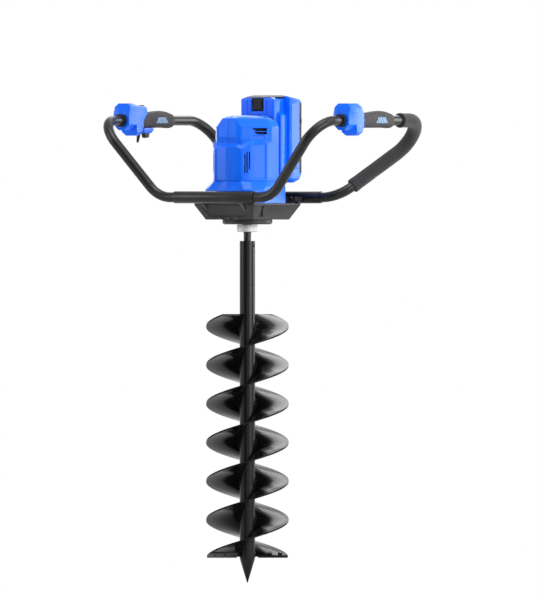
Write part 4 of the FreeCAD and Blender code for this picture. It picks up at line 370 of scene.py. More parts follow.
def rounded(knots, cut, arc, runs, closed=False):
    # a line through knots (rows of one or more points): a corner is cut off at a distance on both sides and
    # filled by the parabola (1-s)^2 before + 2s(1-s) corner + s^2 after; runs gives shares of the points between
    knots = np.asarray(knots, float)
    if knots.ndim == 2:
        knots = knots[:, None, :]
    count = len(knots)
    cut = np.broadcast_to(np.asarray(cut, float), (count,))
    length = np.maximum(np.sqrt(((np.roll(knots, -1, 0) - knots) ** 2).sum(-1).mean(-1)), 1e-9)
    lead = np.minimum(cut / length, 0.45)
    trail = np.minimum(cut / np.roll(length, 1), 0.45)
    if not closed:
        lead[0] = trail[0] = lead[-1] = trail[-1] = 0
    s = np.linspace(0, 1, arc + 1)[:, None, None]
    lines = []
    for k in range(count):
        before, corner, after = knots[k - 1], knots[k], knots[(k + 1) % count]
        if lead[k] > 0:
            enter, leave = corner + (before - corner) * trail[k], corner + (after - corner) * lead[k]
            lines.append((1 - s) ** 2 * enter + 2 * s * (1 - s) * corner + s ** 2 * leave)
        else:
            lines.append(corner[None])
        if closed or k < count - 1:
            shares = np.asarray(runs[k], float)
            shares = shares[(shares > lead[k] + 1e-4) & (shares < 1 - trail[(k + 1) % count] - 1e-4)]
            lines.append(corner + (after - corner) * shares[:, None, None])
    return np.concatenate(lines)


def lofted(knots, rowCut, columnCut, rowRuns, columnRuns, closed=False):
    # a grid of points over corner outlines given level by level, rounded along both directions
    arc = 3  # steps in each rounded corner
    rows = rounded(knots, rowCut, arc, rowRuns)
    return rounded(rows.transpose(1, 0, 2), columnCut, arc, columnRuns, closed).transpose(1, 0, 2)


def gridMesh(name, grid, across=False, along=False, caps=False, keep=None):
    # quads over a grid of points; across joins the last column to the first, along the last row to the first,
    # caps closes the first and last row with a fan, and keep drops the cells where it is false
    rows, columns = grid.shape[:2]
    r, c = np.meshgrid(np.arange(rows if along else rows - 1), np.arange(columns if across else columns - 1),
                       indexing="ij")
    rn, cn = (r + 1) % rows, (c + 1) % columns
    cells = np.stack([r * columns + c, r * columns + cn, rn * columns + cn, rn * columns + c], -1)
    cells = cells[keep] if keep is not None else cells.reshape(-1, 4)
    points = grid.reshape(-1, 3)
    faces = cells.tolist()
    ring = np.arange(columns)
    for last in (False, True) if caps else ():
        line = ring + (rows - 1) * columns if last else ring
        points = np.vstack([points, points[line].mean(0)])
        middle = np.full(columns, len(points) - 1)
        pair = (line, np.roll(line, -1)) if last else (np.roll(line, -1), line)
        faces += np.stack([*pair, middle], -1).tolist()
    mesh = bpy.data.meshes.new(name)
    mesh.from_pydata(points.tolist(), [], faces)
    form = bmesh.new()
    form.from_mesh(mesh)
    bmesh.ops.remove_doubles(form, verts=form.verts, dist=0.00001)
    loose = [vert for vert in form.verts if not vert.link_faces]
    bmesh.ops.delete(form, geom=loose, context="VERTS")
    form.to_mesh(mesh)
    form.free()
    return mesh


def ended(item, wall=0):
    # modifiers that end a worked-out surface: a wall inwards (millimetres), and normals that keep flats flat
    if wall:
        shell = item.modifiers.new("wall", "SOLIDIFY")
        shell.thickness = wall / 1000
        shell.offset = -1
    item.modifiers.new("flats", "WEIGHTED_NORMAL").keep_sharp = True


mirror = np.array([-1, 1, 1])


def flip(grid):
    # the mirror image of a grid in the plane x = 0, still facing outwards
    return grid[:, ::-1] * mirror


def between(value, low, high, soft):
    # 1 between low and high, falling to 0 over soft on both sides
    ramp = np.clip(np.minimum(value - low, high - value) / soft + 0.5, 0, 1)
    return ramp * ramp * (3 - 2 * ramp)


tubePaint = bitPaint("tube_paint", 0.24, 0.24, 0.02)
# near-black plastic for sheets that paint the shade inside the cover's openings and the housing's side slots
darkShadeSheet = blackPlastic("dark_shade_sheet", 0.003, 0.08)
darkSteel = powderCoat("dark_steel", "cast", 0.4, 0.2)
# a lighter cast finish: painted highlight on the gussets and the chevron bosses
highlightCast = powderCoat("highlight_cast", "castHighlight", 0.46, 0.35, 480, 0.3)
lidPlastic = blackPlastic("lid_plastic", 0.008, 0.11)
satinZinc = machinedSteel("satin_zinc", "hub", 0.62, (60, 60, 240), 0.03)
ownFinish = {"bit_tube": tubePaint, "pilot_point": tubePaint, "battery_cap": lidPlastic,
             "battery_latch": lidPlastic, "drive_hub": satinZinc}
for node in ("cutting_blades", "blade_bolts", "cross_pin", "shell_screws", "trigger_pin", "sleeve_bolts",
             "gearbox_screws"):
    ownFinish[node] = darkSteel
for node, item in frame["nodes"].items():
    item.data.materials.clear()
    item.data.materials.append(ownFinish.get(node, materials[slotOf[node]]))

shells = ("guard_shell_inner", "guard_shell_outer", "control_shell_inner", "control_shell_outer")
softEdges = {
    **dict.fromkeys(shells, 0.006), "trigger_housing": 0.001, "trigger": 0.0008, "gearbox_housing": 0.0015,
    "gearbox_cover": 0.001, "gearbox_flange": 0.0006, "drive_hub": 0.0008, "battery_front_case": 0.002,
    "battery_rear_case": 0.003, "battery_cap": 0.0015, "battery_latch": 0.0012, "lock_button": 0.001,
    "direction_lever": 0.0008, "trigger_switch": 0.0003, "front_sleeve": 0.0006, "rear_sleeve": 0.0006,
}
# the snouts of the guards and the rear of the trigger housing are a little shorter than their CAD stand-ins:
# where the shortening starts, the share that stays, and the side on which it lies
squeezed = dict.fromkeys(shells, (-0.0665, 0.45, -1))
# from the rear wall of the trigger's slot on, so that the trigger stays clear; the switch goes with the housing
squeezed["trigger_housing"] = squeezed["trigger_switch"] = (0.047, 0.5, 1)
for node, width in softEdges.items():
    softened(node, width, squeezed.get(node))
print("softened", len(softEdges))


# motor cover: two moulded halves that meet at x = 0, in millimetres

motorCover = {
    "wall": 2.4, "corner": 2.6, "seam": 0.05,
    "drum": [(0, -93.2), (28, -91), (40, -87.5), (57, -67), (80, -33), (80, -14), (80, 20), (58, 38), (0, 38)],
    "head": [(0, -86.5), (26, -86.5), (36, -83.5), (52, -63), (74, -29), (80, -14), (80, 20), (58, 38), (0, 38)],
    "shoulderLow": [192, 191, 184, 196, 199, 199, 199, 199, 199],
    "shoulderHigh": [198, 198, 197, 210, 208, 206, 206, 206, 206],
    "overhang": 2.6, "lean": 0.11,
    "roof": [
        (253, [(0, -82.2), (22, -82.2), (27, -80.8), (42, -57), (63.5, -24), (69.5, -13), (74, 18), (54, 35.5),
               (0, 35.5)]),
        (260.5, [(0, -81.2), (16, -81.2), (20.5, -80), (37, -53), (58, -22), (63, -12), (62.5, 12), (46, 31),
                 (0, 32)]),
        (267, [(0, -67), (12, -65.5), (15.5, -63), (26, -47), (39, -19), (44, -9), (55, 5), (40, 23), (0, 25)]),
        (268.4, [(0, -50), (9, -49), (11, -47), (20, -36), (30, -15), (34, -6), (46, 2), (34, 14), (0, 16)]),
        (268.6, [(0, -48), (0, -46), (0, -42), (0, -32), (0, -12), (0, -5), (0, 2), (0, 12), (0, 14)]),
    ],
    "levels": [112, 114, 126, 135, 173, 178, 182], "upright": [212.6, 214.4, 218, 221.4, 227.6, 229.4, 236.8, 240],
    "leanFrom": 214, "leanShares": (1, 1, 0.7, 0.3),
    "rowCut": [0] * 8 + [2.6, 2.6] + [0] * 7 + [3, 4, 2.6, 5, 3, 0],
    "rowSteps": (3, 2, 5, 4, 12, 2, 2, 3, 5, 3, 2, 3, 2, 3, 2, 4, 3, 6, 5, 6, 4, 8),
    "panel": {"depth": 1.7, "low": 113, "high": 219, "from": 0.07, "to": 0.93, "soft": (0.035, 2), "near": 9},
    "slots": [(0.34, 126, 173), (0.55, 126, 178), (0.77, 135, 178)], "slotWidth": 3.0, "slotNear": 3,
    "vents": [(0.03, 229.4, 236.8), (0.19, 221.4, 227.6)], "ventEnd": 1.2, "ventSlant": 13.0,
    "ventNear": 4, "ventFront": -26, "ventBlend": (0.6, 0.2),
    "headPanel": {"depth": 0.9, "low": 213.5, "top": 262, "half": 27, "limit": 30, "front": -70, "soft": (2, 4)},
}


def level(height, outline):
    # an outline in plan at one height, or at one height for each of its corners
    return np.column_stack([outline, np.broadcast_to(np.asarray(height, float), len(outline))])


def coverGrid():
    # rows climb from the foot to the roof, columns run from the front seam round the right side to the rear seam
    m = motorCover
    drum, head = np.array(m["drum"], float), np.array(m["head"], float)

    def leaning(height):
        # the front of the head leans back as it climbs
        outline = head.copy()
        outline[:4, 1] += max(height - m["leanFrom"], 0) * m["lean"] * np.array(m["leanShares"])
        return level(height, outline)

    tucked = head.copy()
    tucked[:3, 1] += m["overhang"]

    foot = span("motor_cover_right")[0][2] * 1000
    knots = [level(z, drum) for z in [foot, *m["levels"]]]
    knots += [level(m["shoulderLow"], drum), level(m["shoulderHigh"], tucked)]
    knots += [leaning(z) for z in m["upright"]]
    knots += [level(z, np.array(outline, float)) for z, outline in m["roof"]]
    # the columns of the two slanting facets, as shares of their length: slots have a column on each side
    half = m["slotWidth"] / 2 / np.hypot(*(drum[3] - drum[2]))
    facetA = [[place - half, place + half] for place, low, high in m["slots"]] + [[0.2, 0.45, 0.66, 0.88]]
    facetA = np.sort(np.concatenate(facetA))
    facetB = [0.04, 0.07, 0.10, 0.16, 0.23, 0.30, 0.37, 0.44, 0.52, 0.60, 0.68, 0.76, 0.84, 0.90, 0.93, 0.96]
    columnRuns = [steps(10), steps(4), facetA, facetB, steps(5), steps(10), steps(8), steps(16), []]
    grid = lofted(np.array(knots), m["rowCut"], m["corner"], [steps(n) for n in m["rowSteps"]], columnRuns)
    x, y, z = grid[..., 0], grid[..., 1], grid[..., 2]

    def share(first, last):
        # how far a point lies along the facet from first to last, how far off it, and the facet's normal
        way = last - first
        reach = (x - first[0]) * way[0] + (y - first[1]) * way[1]
        off = (x - first[0]) * way[1] - (y - first[1]) * way[0]
        return reach / (way @ way), off / np.hypot(*way), np.array([way[1], -way[0]]) / np.hypot(*way)

    # the side panel is sunk, the panel on the front of the head is raised
    alongB, offB, outB = share(drum[3], drum[4])
    p = m["panel"]
    sunk = between(alongB, p["from"], p["to"], p["soft"][0]) * between(z, p["low"], p["high"], p["soft"][1])
    sunk *= np.abs(offB) < p["near"]
    grid[..., 0] -= sunk * p["depth"] * outB[0]
    grid[..., 1] -= sunk * p["depth"] * outB[1]
    p = m["headPanel"]
    raised = between(z, p["low"], math.inf, p["soft"][0]) * (z < p["top"]) * (np.abs(x) < p["limit"])
    raised *= y < p["front"]
    grid[..., 1] -= raised * p["depth"] * between(np.abs(x), -math.inf, p["half"], p["soft"][1])
    # slots and vents: cells that are left out
    middle = (grid[:-1, :-1] + grid[1:, :-1] + grid[:-1, 1:] + grid[1:, 1:]) / 4
    x, y, z = middle[..., 0], middle[..., 1], middle[..., 2]
    alongA, offA = share(drum[2], drum[3])[:2]
    keep = np.ones(z.shape, bool)
    for place, low, high in m["slots"]:
        keep &= ~((np.abs(alongA - place) < half) & (np.abs(offA) < m["slotNear"]) & (z > low) & (z < high))
    alongB, offB = share(head[3], head[4])[:2]
    for start, low, high in m["vents"]:
        across = (alongB > start) & (alongB < m["ventEnd"]) & (np.abs(offB) < m["ventNear"])
        keep &= ~(across & (z > low) & (z < high) & (y < m["ventFront"]))
    x, y = grid[..., 0], grid[..., 1]
    reach, off = share(head[3], head[4])[:2]
    onFacet = np.abs(off) < m["ventNear"]
    way = unit(head[4] - head[3])
    for start, low, high in m["vents"]:
        # the front end of a vent slants: its points slide along the facet towards the bottom
        climb, past = grid[..., 2], reach - start
        fall = np.clip((high - climb) / (high - low), 0, 1) * (climb > low - 0.1) * (climb < high)
        fade = np.where(past > 0, past / m["ventBlend"][0], -past / m["ventBlend"][1])
        slide = fall * m["ventSlant"] * np.clip(1 - fade, 0, 1) * onFacet
        grid[..., 0] += slide * way[0]
        grid[..., 1] += slide * way[1]
    grid[..., 0] = np.maximum(grid[..., 0], m["seam"])
    return grid / 1000, keep


surface, keep = coverGrid()
for side, grid, cells in (("right", surface, keep), ("left", flip(surface), keep[:, ::-1])):
    mesh = gridMesh("cover_half_" + side, grid, keep=cells)
    ended(addPiece("cover_half_" + side, mesh, "motor_cover_" + side), motorCover["wall"])

skirt = {
    "wall": 2.4, "corner": 4,
    "foot": [(0, -97.5), (51.6, -96.5), (68, -85), (86, -58), (86, -37), (86, 41), (81, 46), (0, 46)],
    "neck": [(0, -92.9), (39.8, -87.2), (56.8, -66.8), (79.7, -32.9), (79.7, -14), (79.7, 20), (58, 37.7), (0, 37.7)],
    "flareLow": [85, 85, 86, 88, 94, 94, 90, 88], "neckRise": 0.8, "rim": 2,
}


def skirtGrid():
    # a straight wall that flares in to the cover's foot; the flare starts higher towards the sides
    m = skirt
    foot, neck = np.array(m["foot"], float), np.array(m["neck"], float)
    low = span("base_skirt")[0][2] * 1000
    neckHeight = span("motor_cover_right")[0][2] * 1000 + m["neckRise"]
    half = [level(low, foot), level(low + m["rim"], foot), level(m["flareLow"], foot), level(neckHeight, neck)]
    knots = np.array([np.vstack([row, row[-2:0:-1] * mirror]) for row in half])
    runs = [steps(12), steps(6), steps(8), steps(6), steps(12), steps(3), steps(10)]
    rows = [steps(2), steps(10), steps(6)]
    return lofted(knots, [0, 0, 2, 0], m["corner"], rows, runs + runs[::-1], closed=True) / 1000


item = addPiece("skirt_moulded", gridMesh("skirt_moulded", skirtGrid(), across=True), "base_skirt")
ended(item, skirt["wall"])


plateEdge = {"radius": 0.6, "rows": 3}


def plate(name, corners, normal, thick, node, cut=1.0, slot=None, finish=None):
    # a flat pad on a face: its outline (millimetres) is carried out along the normal and closed with a fan,
    # with a quarter-round edge
    corners, normal = np.array(corners, float), np.array(normal, float)
    outline = rounded(corners, cut, 4, [steps(4)] * len(corners), closed=True)[:, 0]
    middle = outline.mean(0)
    edge = plateEdge["radius"]
    turn = np.linspace(0, np.pi / 2, plateEdge["rows"] + 1)
    rise = np.concatenate([[0], thick - edge + edge * np.sin(turn)])
    inset = np.concatenate([[0], edge * (1 - np.cos(turn))])
    inward = unit(middle - outline)
    grid = np.stack([outline + normal * h + inward * i for h, i in zip(rise, inset)])
    across = np.cross(grid[0, 1] - grid[0, 0], normal)
    if (across @ (outline[0] - middle)) < 0:
        grid = grid[:, ::-1]
    mesh = gridMesh(name, grid / 1000, across=True, caps=True)
    ended(addPiece(name, mesh, node, slot=slot, replaced=False, finish=finish))


ventShadeSheet = {"behind": 8.0, "slots": (118, 186), "vents": (218, 239.5), "ventShift": (3, 7), "thick": 1.2}


def ventShadeSheets():
    # dark sheets behind the slots and the vents of both cover halves, painted shade that stands for the dark inside
    # of the openings
    m = ventShadeSheet
    drum, head = np.array(motorCover["drum"], float), np.array(motorCover["head"], float)
    lines = []
    for first, last, heights in ((drum[2], drum[3], m["slots"]), (head[3], head[4] + m["ventShift"], m["vents"])):
        way = unit(last - first)
        inward = np.array([-way[1], way[0]]) * m["behind"]
        lines.append((first + inward + way, last + inward - way, *heights))
    for side in (1, -1):
        for index, (first, last, low, high) in enumerate(lines):
            turn = np.array([side, 1])
            a, b = first * turn, last * turn
            corners = [(*a, low), (*b, low), (*b, high), (*a, high)]
            normal = unit(np.cross([*(b - a), 0], (0, 0, 1))) * side
            plate("vent_shade_sheet_%d_%d" % (side + 1, index), corners, normal, m["thick"], "motor_cover_right",
                  slot="black_plastic", finish=darkShadeSheet)


ventShadeSheets()
print("cover and skirt")


# battery: pads round the latch, a worn latch face, and a dark bumper round the rear case

batteryTrim = {
    "face": 45, "thick": 1.1, "latchHalf": 18.4, "frameLow": 277, "frameHigh": 307, "flare": 8, "foot": 269.5,
    "gap": 0.3, "besideEnd": 28, "outer": [(28, 265), (44.5, 263), (45.5, 302), (30.2, 307)], "corner": 1.6,
    "panel": {"side": 65, "outline": [(98, 150), (129, 135), (129, 291), (124, 297), (98, 297)], "thick": 0.9,
              "corner": 2.5},
    "bumper": {"side": 65, "back": 143, "reach": 8.5, "corner": 3.0, "low": 127, "high": 299, "proud": 1.0,
               "ribs": (196, 254), "ribHalf": 5, "ribProud": 0.9, "channelPitch": 15, "channels": 52,
               "channelDepth": 0.8, "channelEnds": 12, "sunk": -0.6, "rows": 120, "wall": 0.6},
    "latchFace": [(-8, 44.6, 283), (12, 44.6, 283), (13, 44.6, 310), (-9, 44.6, 310)], "latchThick": 0.7,
}


def batteryPads():
    # a frame of three pads round the latch, one wider pad beyond a groove on either side, and side panels
    m = batteryTrim
    half, low, high, foot = m["latchHalf"], m["frameLow"], m["frameHigh"], m["foot"]
    wide = half + m["flare"]
    pads = {"under": [(-wide, foot), (wide, foot), (half, low), (-half, low)]}
    for side in (-1, 1):
        beside = [(half, low + m["gap"]), (wide, foot + m["gap"]), (m["besideEnd"], high), (half, high)]
        pads["beside_%d" % (side + 1)] = [(side * x, z) for x, z in beside]
        pads["outer_%d" % (side + 1)] = [(side * x, z) for x, z in m["outer"]]
    for name, corners in pads.items():
        plate("battery_" + name, [(x, m["face"], z) for x, z in corners], (0, -1, 0), m["thick"],
              "battery_front_case", cut=m["corner"])
    panel = m["panel"]
    for side in (-1, 1):
        corners = [(side * panel["side"], y, z) for y, z in panel["outline"]]
        plate("battery_panel_%d" % (side + 1), corners, (side, 0, 0), panel["thick"], "battery_rear_case",
              cut=panel["corner"])


def bumperGrid():
    # the wall of the rear case is followed at a distance; ribs and shallow channels change that distance
    m = batteryTrim["bumper"]
    side, back, cut, low, high = m["side"], m["back"], m["corner"], m["low"], m["high"]
    front = back - m["reach"]
    path = rounded([(0, back), (side, back), (side, front)], [0, cut, 0], 6, [steps(90), steps(6)])[:, 0]
    outward = unit(np.clip((path - (side, back) + cut) / cut, 0, 1))
    z = np.concatenate([[low, low], np.linspace(low + 0.8, high - 0.8, m["rows"]), [high, high]])
    proud = np.full((len(z), len(path)), m["proud"])
    proud[[0, -1]] = m["sunk"]
    proud[[1, -2]] = m["proud"] * 0.4
    for rib in m["ribs"]:
        onRib = between(z, rib - m["ribHalf"], rib + m["ribHalf"], 3)[:, None]
        proud += m["ribProud"] * onRib * (path[:, 0] > side - 4)
    channel = (0.5 + 0.5 * np.cos(2 * np.pi * path[:, 0] / m["channelPitch"])) ** 3 * (path[:, 0] < m["channels"])
    proud -= m["channelDepth"] * channel * between(z, low + m["channelEnds"], high - m["channelEnds"], 6)[:, None]
    proud[:, -1] = m["sunk"]
    place = path[None] + proud[..., None] * outward[None]
    right = np.concatenate([place, np.repeat(z[:, None, None], len(path), 1)], -1)
    left = right[:, :0:-1] * mirror
    return np.concatenate([left, right], 1)[:, ::-1] / 1000


batteryPads()
bumper = addPiece("battery_bumper", gridMesh("battery_bumper", bumperGrid()), "battery_rear_case",
                  slot="black_plastic", replaced=False)
ended(bumper, batteryTrim["bumper"]["wall"])
wornFace = Shader("worn_latch", Base_Color=finishes["latchWorn"], Roughness=0.55, Specular_IOR_Level=0.15)
wornFace.bump(wornFace.noise(900, 3), 0.3, 0.0005)
plate("latch_face", batteryTrim["latchFace"], (0, -1, 0), batteryTrim["latchThick"], "battery_latch", cut=1.2,
      finish=wornFace.material)
print("battery details")


# foam pad on the right bar: a sleeve carried along the bent tube

barRoute = {"corners": [(324.3, -176.3, 255.8), (324.3, 373.7, 255.8), (167, 149.3, 66.7), (0.5, 149.3, 66.7)],
            "radii": [0, 64, 74, 0]}
foam = {"start": 188, "endGap": 3, "inside": 12.7, "outside": 17.4, "bead": 1.0, "crease": 0.9, "creasePitch": 12,
        "dents": (0.16, 0.10), "swell": 0.5, "edge": 3.0, "edgeFall": 1.5, "beyondBend": 620}


def bentLine(corners, radii, spacing):
    # straight runs joined by arcs that touch both: points, directions and the length travelled
    corners = np.array(corners, float)
    points, ways = [], []
    here = corners[0]
    for k in range(1, len(corners)):
        way = unit(corners[k] - here)
        if k < len(corners) - 1:
            onward = unit(corners[k + 1] - corners[k])
            bend = np.arccos(np.clip(way @ onward, -1, 1))
            back = radii[k] * np.tan(bend / 2)
        else:
            bend = back = 0
        end = corners[k] - way * back
        run = np.linspace(0, 1, max(int(np.linalg.norm(end - here) / spacing), 2))[:-1, None]
        points.append(here + (end - here) * run)
        ways.append(np.repeat(way[None], len(run), 0))
        if bend:
            turn = np.linspace(0, bend, max(int(radii[k] * bend / spacing), 6))[:, None]
            side = unit(onward - way * (way @ onward))
            points.append(end + radii[k] * (way * np.sin(turn) + side * (1 - np.cos(turn))))
            ways.append(way * np.cos(turn) + side * np.sin(turn))
            here = points[-1][-1]
    points, ways = np.concatenate(points), np.concatenate(ways)
    travelled = np.concatenate([[0], np.cumsum(np.linalg.norm(np.diff(points, axis=0), axis=1))])
    return points, ways, travelled


def along(line, where):
    # points and directions of a bent line at given lengths
    points, ways, travelled = line
    place = np.stack([np.interp(where, travelled, points[:, i]) for i in range(3)], -1)
    way = np.stack([np.interp(where, travelled, ways[:, i]) for i in range(3)], -1)
    return place, unit(way)


def foamGrid():
    # radius = outside + bead at the front end - creases on the inside of the bend - shallow dents, closed at both
    # ends by rows that turn in to the tube
    m = foam
    line = bentLine(barRoute["corners"], barRoute["radii"], 1.0)
    start = m["start"] - barRoute["corners"][0][1]
    ways, travelled = line[1:]
    straight = np.where(np.abs(ways @ ways[np.searchsorted(travelled, m["beyondBend"])] - 1) < 1e-6)[0]
    bar = np.where(np.abs(ways[:, 1] - 1) < 1e-6)[0]
    end = travelled[straight[-1]] - m["endGap"]
    bendStart, bendEnd = travelled[bar[-1]], travelled[straight[0]]
    s = np.concatenate([[start] * 2, start + np.array([0.5, 1.4, 3.0, 5.0, 6.5, 8.0]),
                        np.arange(start + 10, end - 6, 1.6), end - np.array([4.5, 3.0, 1.4, 0.5]), [end] * 2])
    place, way = along(line, s)
    turn = np.linspace(0, 2 * np.pi, 73)[:-1]
    bendNormal = unit(np.cross(ways[bar[-1]], ways[straight[0]]))
    inner = np.cross(bendNormal, way)
    cos, sin = np.cos(turn)[None], np.sin(turn)[None]
    t = s[:, None]
    bent = between(t, bendStart + 12, bendEnd - 12, 40)
    creases = np.clip(cos, 0, 1) ** 2 * bent * (0.5 + 0.5 * np.cos(2 * np.pi * t / m["creasePitch"] + 0.8 * sin)) ** 3
    dents = m["dents"][0] * np.sin(t / 9.0 + 2 * sin) * np.sin(3 * turn[None] + t / 31.0)
    dents += m["dents"][1] * np.sin(t / 3.7) * np.sin(5 * turn[None] + 1)
    radius = m["outside"] + m["bead"] * between(t, start - 2, start + 6.5, 2) - m["crease"] * creases + dents
    radius += m["swell"] * between(t, end - 14, end + 5, 8)
    edge = np.minimum(t - start, end - t)
    radius -= m["edgeFall"] * (1 - np.sqrt(np.clip(1 - (1 - np.clip(edge / m["edge"], 0, 1)) ** 2, 0, 1)))
    radius = np.where(np.arange(len(s))[:, None] % (len(s) - 1) == 0, m["inside"], radius)
    outside = place[:, None] + radius[..., None] * (cos[..., None] * inner[:, None] + sin[..., None] * bendNormal)
    within = place[:, None] + m["inside"] * (cos[..., None] * inner[:, None] + sin[..., None] * bendNormal)
    return np.concatenate([outside, within[-2:0:-4]])[:, ::-1] / 1000


foamPiece = addPiece("foam_sleeve", gridMesh("foam_sleeve", foamGrid(), across=True, along=True), "foam_pad")
print("foam pad")


# grips: a superellipse section carried along the bar, with ribs and a rim round each insert

grip = {
    "places": [0, 0.3, 0.5, 0.66, 0.8, 0.93, 1.0], "top": [17.0, 19.6, 22.6, 23.9, 22.3, 18.0, 15.0],
    "low": [18.3, 18.3, 18.2, 18.0, 18.2, 19.4, 16.5], "half": [17.6, 18.0, 18.0, 18.0, 17.9, 17.4, 16.2],
    "power": 2.9, "ribPitch": 4.4, "ribDepth": 0.45, "insertStart": 57, "insertLength": 52, "insertLow": -6.75,
    "insertHigh": 8.25, "insertSlope": 10.5, "rim": 0.5, "well": 1.4, "sideFrom": 13, "overrun": 3,
    "height": 255.8, "span": 324.3, "tube": 12.6, "around": 120,
}


def gripGrid(node, side):
    # rows run along the bar; across, x = half cos^(2/n) and z = top or low times sin^(2/n)
    m = grip
    low, high = span(node)
    start, end = low[1] * 1000, high[1] * 1000 + m["overrun"]
    share, sample = np.linspace(0, 1, 150), np.linspace(-0.05, 1.0, 158)
    kernel = np.hanning(15) / np.hanning(15).sum()

    def smooth(values):
        # sizes given at a few places, as a soft curve along the grip
        line = np.interp(sample, m["places"], values)
        line = np.concatenate([np.full(7, line[0]), line, np.full(7, line[-1])])
        return np.interp(share, sample, np.convolve(line, kernel, "valid"))

    top, bottom, half = smooth(m["top"]), smooth(m["low"]), smooth(m["half"])
    y = start + (end - start) * share
    closing = np.sqrt(np.clip(1 - np.clip((y - (end - 5)) / 5, 0, 1) ** 2, 0, 1)) * 0.14 + 0.86
    turn = np.linspace(0, 2 * np.pi, m["around"] + 1)[:-1]
    cos, sin = np.cos(turn)[None], np.sin(turn)[None]
    power = 2 / m["power"]
    x = np.sign(cos) * np.abs(cos) ** power * (half * closing)[:, None]
    z = np.where(sin > 0, (top * closing)[:, None], (bottom * closing)[:, None])
    z = np.sign(sin) * np.abs(sin) ** power * z
    yy = np.repeat(y[:, None], m["around"], 1)
    insetFront = (z - m["insertLow"]) / (m["insertHigh"] - m["insertLow"]) * m["insertSlope"]
    edge = np.maximum.reduce([m["insertLow"] - z, z - m["insertHigh"], m["insertStart"] + insetFront - yy,
                              yy - (m["insertStart"] + m["insertLength"] - insetFront)])
    onSide = np.abs(x) > m["sideFrom"]
    rim = between(edge, 0.4, 2.6, 1.0) * onSide
    well = (edge < 0.4) * onSide
    clear = np.where(onSide, np.clip((edge - 3.5) / 3, 0, 1), 1) * between(yy, start + 3, end - 12, 6)
    ribs = (0.5 + 0.5 * np.cos(2 * np.pi * yy / m["ribPitch"])) ** 2 * clear
    lift = rim * m["rim"] - well * m["well"] - ribs * m["ribDepth"]
    scale = 1 + lift / np.maximum(np.hypot(x, z), 1)
    grid = np.stack([x * scale + m["span"] * side, yy, z * scale + m["height"]], -1)
    tube = np.stack([m["tube"] * cos[0] + m["span"] * side, np.full(m["around"], end - 0.2),
                     m["tube"] * sin[0] + m["height"]], -1)
    return np.concatenate([grid, tube[None]])[:, ::-1] / 1000


for node, side in (("grip_left", -1), ("grip_right", 1)):
    ended(addPiece(node + "_rubber", gridMesh(node, gripGrid(node, side), across=True, caps=True), node))
print("grips")


# weld beads along both flights

welds = {"radius": 2.6, "root": 19.4, "low": -817.85, "pitch": 190.4, "thick": 4, "rise": 593.5, "ripple": 0.35,
         "rows": 560}


def weldGrid(start, above):
    # a tube along the helix x = r cos a, y = r sin a, z = low + pitch a / 360, with ripples left by the torch
    m = welds
    angle = np.linspace(0, 2 * np.pi * m["rise"] / m["pitch"], m["rows"])
    turn = np.linspace(0, 2 * np.pi, 9)[:-1]
    z = m["low"] + m["pitch"] * angle / (2 * np.pi) + (m["thick"] if above else 0)
    radius = (m["radius"] + m["ripple"] * np.sin(angle * 95))[:, None]
    row = np.arange(m["rows"])
    ends = np.clip(np.minimum(row, row[::-1]) / 3, 0.2, 1)[:, None]
    reach = m["root"] + radius * ends * np.cos(turn)
    way = angle[:, None] + np.radians(start)
    return np.stack([reach * np.cos(way), reach * np.sin(way), z[:, None] + radius * ends * np.sin(turn)], -1) / 1000


for node, start in (("flight_a", 45), ("flight_b", 225)):
    for label, above in (("upper", True), ("lower", False)):
        name = "%s_weld_%s" % (node, label)
        addPiece(name, gridMesh(name, weldGrid(start, above), across=True, caps=True), node, replaced=False)
print("welds")


# gearbox housing: gussets under the arms and bosses over the flange, both lighter with a painted highlight, and a
# dark strip of painted shade in each side slot

# the sloping face runs from its foot (y, z) to its head
gusset = {"across": 56, "thick": 3.2, "top": 51.5, "low": 34, "under": 47.5, "reach": 15, "sink": 0.8,
          "foot": (-80.0, 11.8), "head": (-104.0, 48.0)}


def gussets():
    # a triangular web stands on the sloping front and rear faces; its lighter finish is a painted highlight
    m = gusset
    (foot, low), (head, high) = m["foot"], m["head"]
    start = foot + (head - foot) / (high - low) * (m["low"] - low) + m["sink"]
    for side in (-1, 1):
        for end in (1, -1):
            x = m["across"] * side - m["thick"] / 2
            top = (head + m["sink"]) * end
            corners = [(x, start * end, m["low"]), (x, top, m["under"]), (x, top, m["top"]),
                       (x, top - m["reach"] * end, m["top"]), (x, top - (m["reach"] - 1) * end, m["top"] - 3)]
            plate("gusset_%d_%d" % (side + 1, end + 1), corners, (1, 0, 0), m["thick"], "gearbox_housing", cut=0.6,
                  finish=highlightCast)


# corners of one chevron: across, out of the face, and height
chevron = {"places": (-24.5, 0, 24.5), "face": 81.0, "thick": 2.4,
           "corners": [(-7, 0, 12.4), (-4.5, 0, 12.4), (0, 1.2, 15.2), (4.5, 0, 12.4), (7, 0, 12.4), (0, 2.4, 18.4)]}


def flangeBosses():
    # small chevron bosses at the foot of the front and rear faces; their lighter finish is a painted highlight
    m = chevron
    for end in (1, -1):
        for index, place in enumerate(m["places"]):
            corners = [(place + x, -(m["face"] + out) * end, z) for x, out, z in m["corners"]]
            plate("chevron_%d_%d" % (end + 1, index), corners, (0, -end, 0), m["thick"], "gearbox_housing", cut=0.4,
                  finish=highlightCast)


sideShadeStrip = {"corners": [(74.2, -49.5, 18.5), (74.2, -43.5, 18.5), (86.6, -61.8, 47.4), (86.6, -68, 47.4)],
            "normal": (0.895, 0, -0.446), "thick": 1.2}


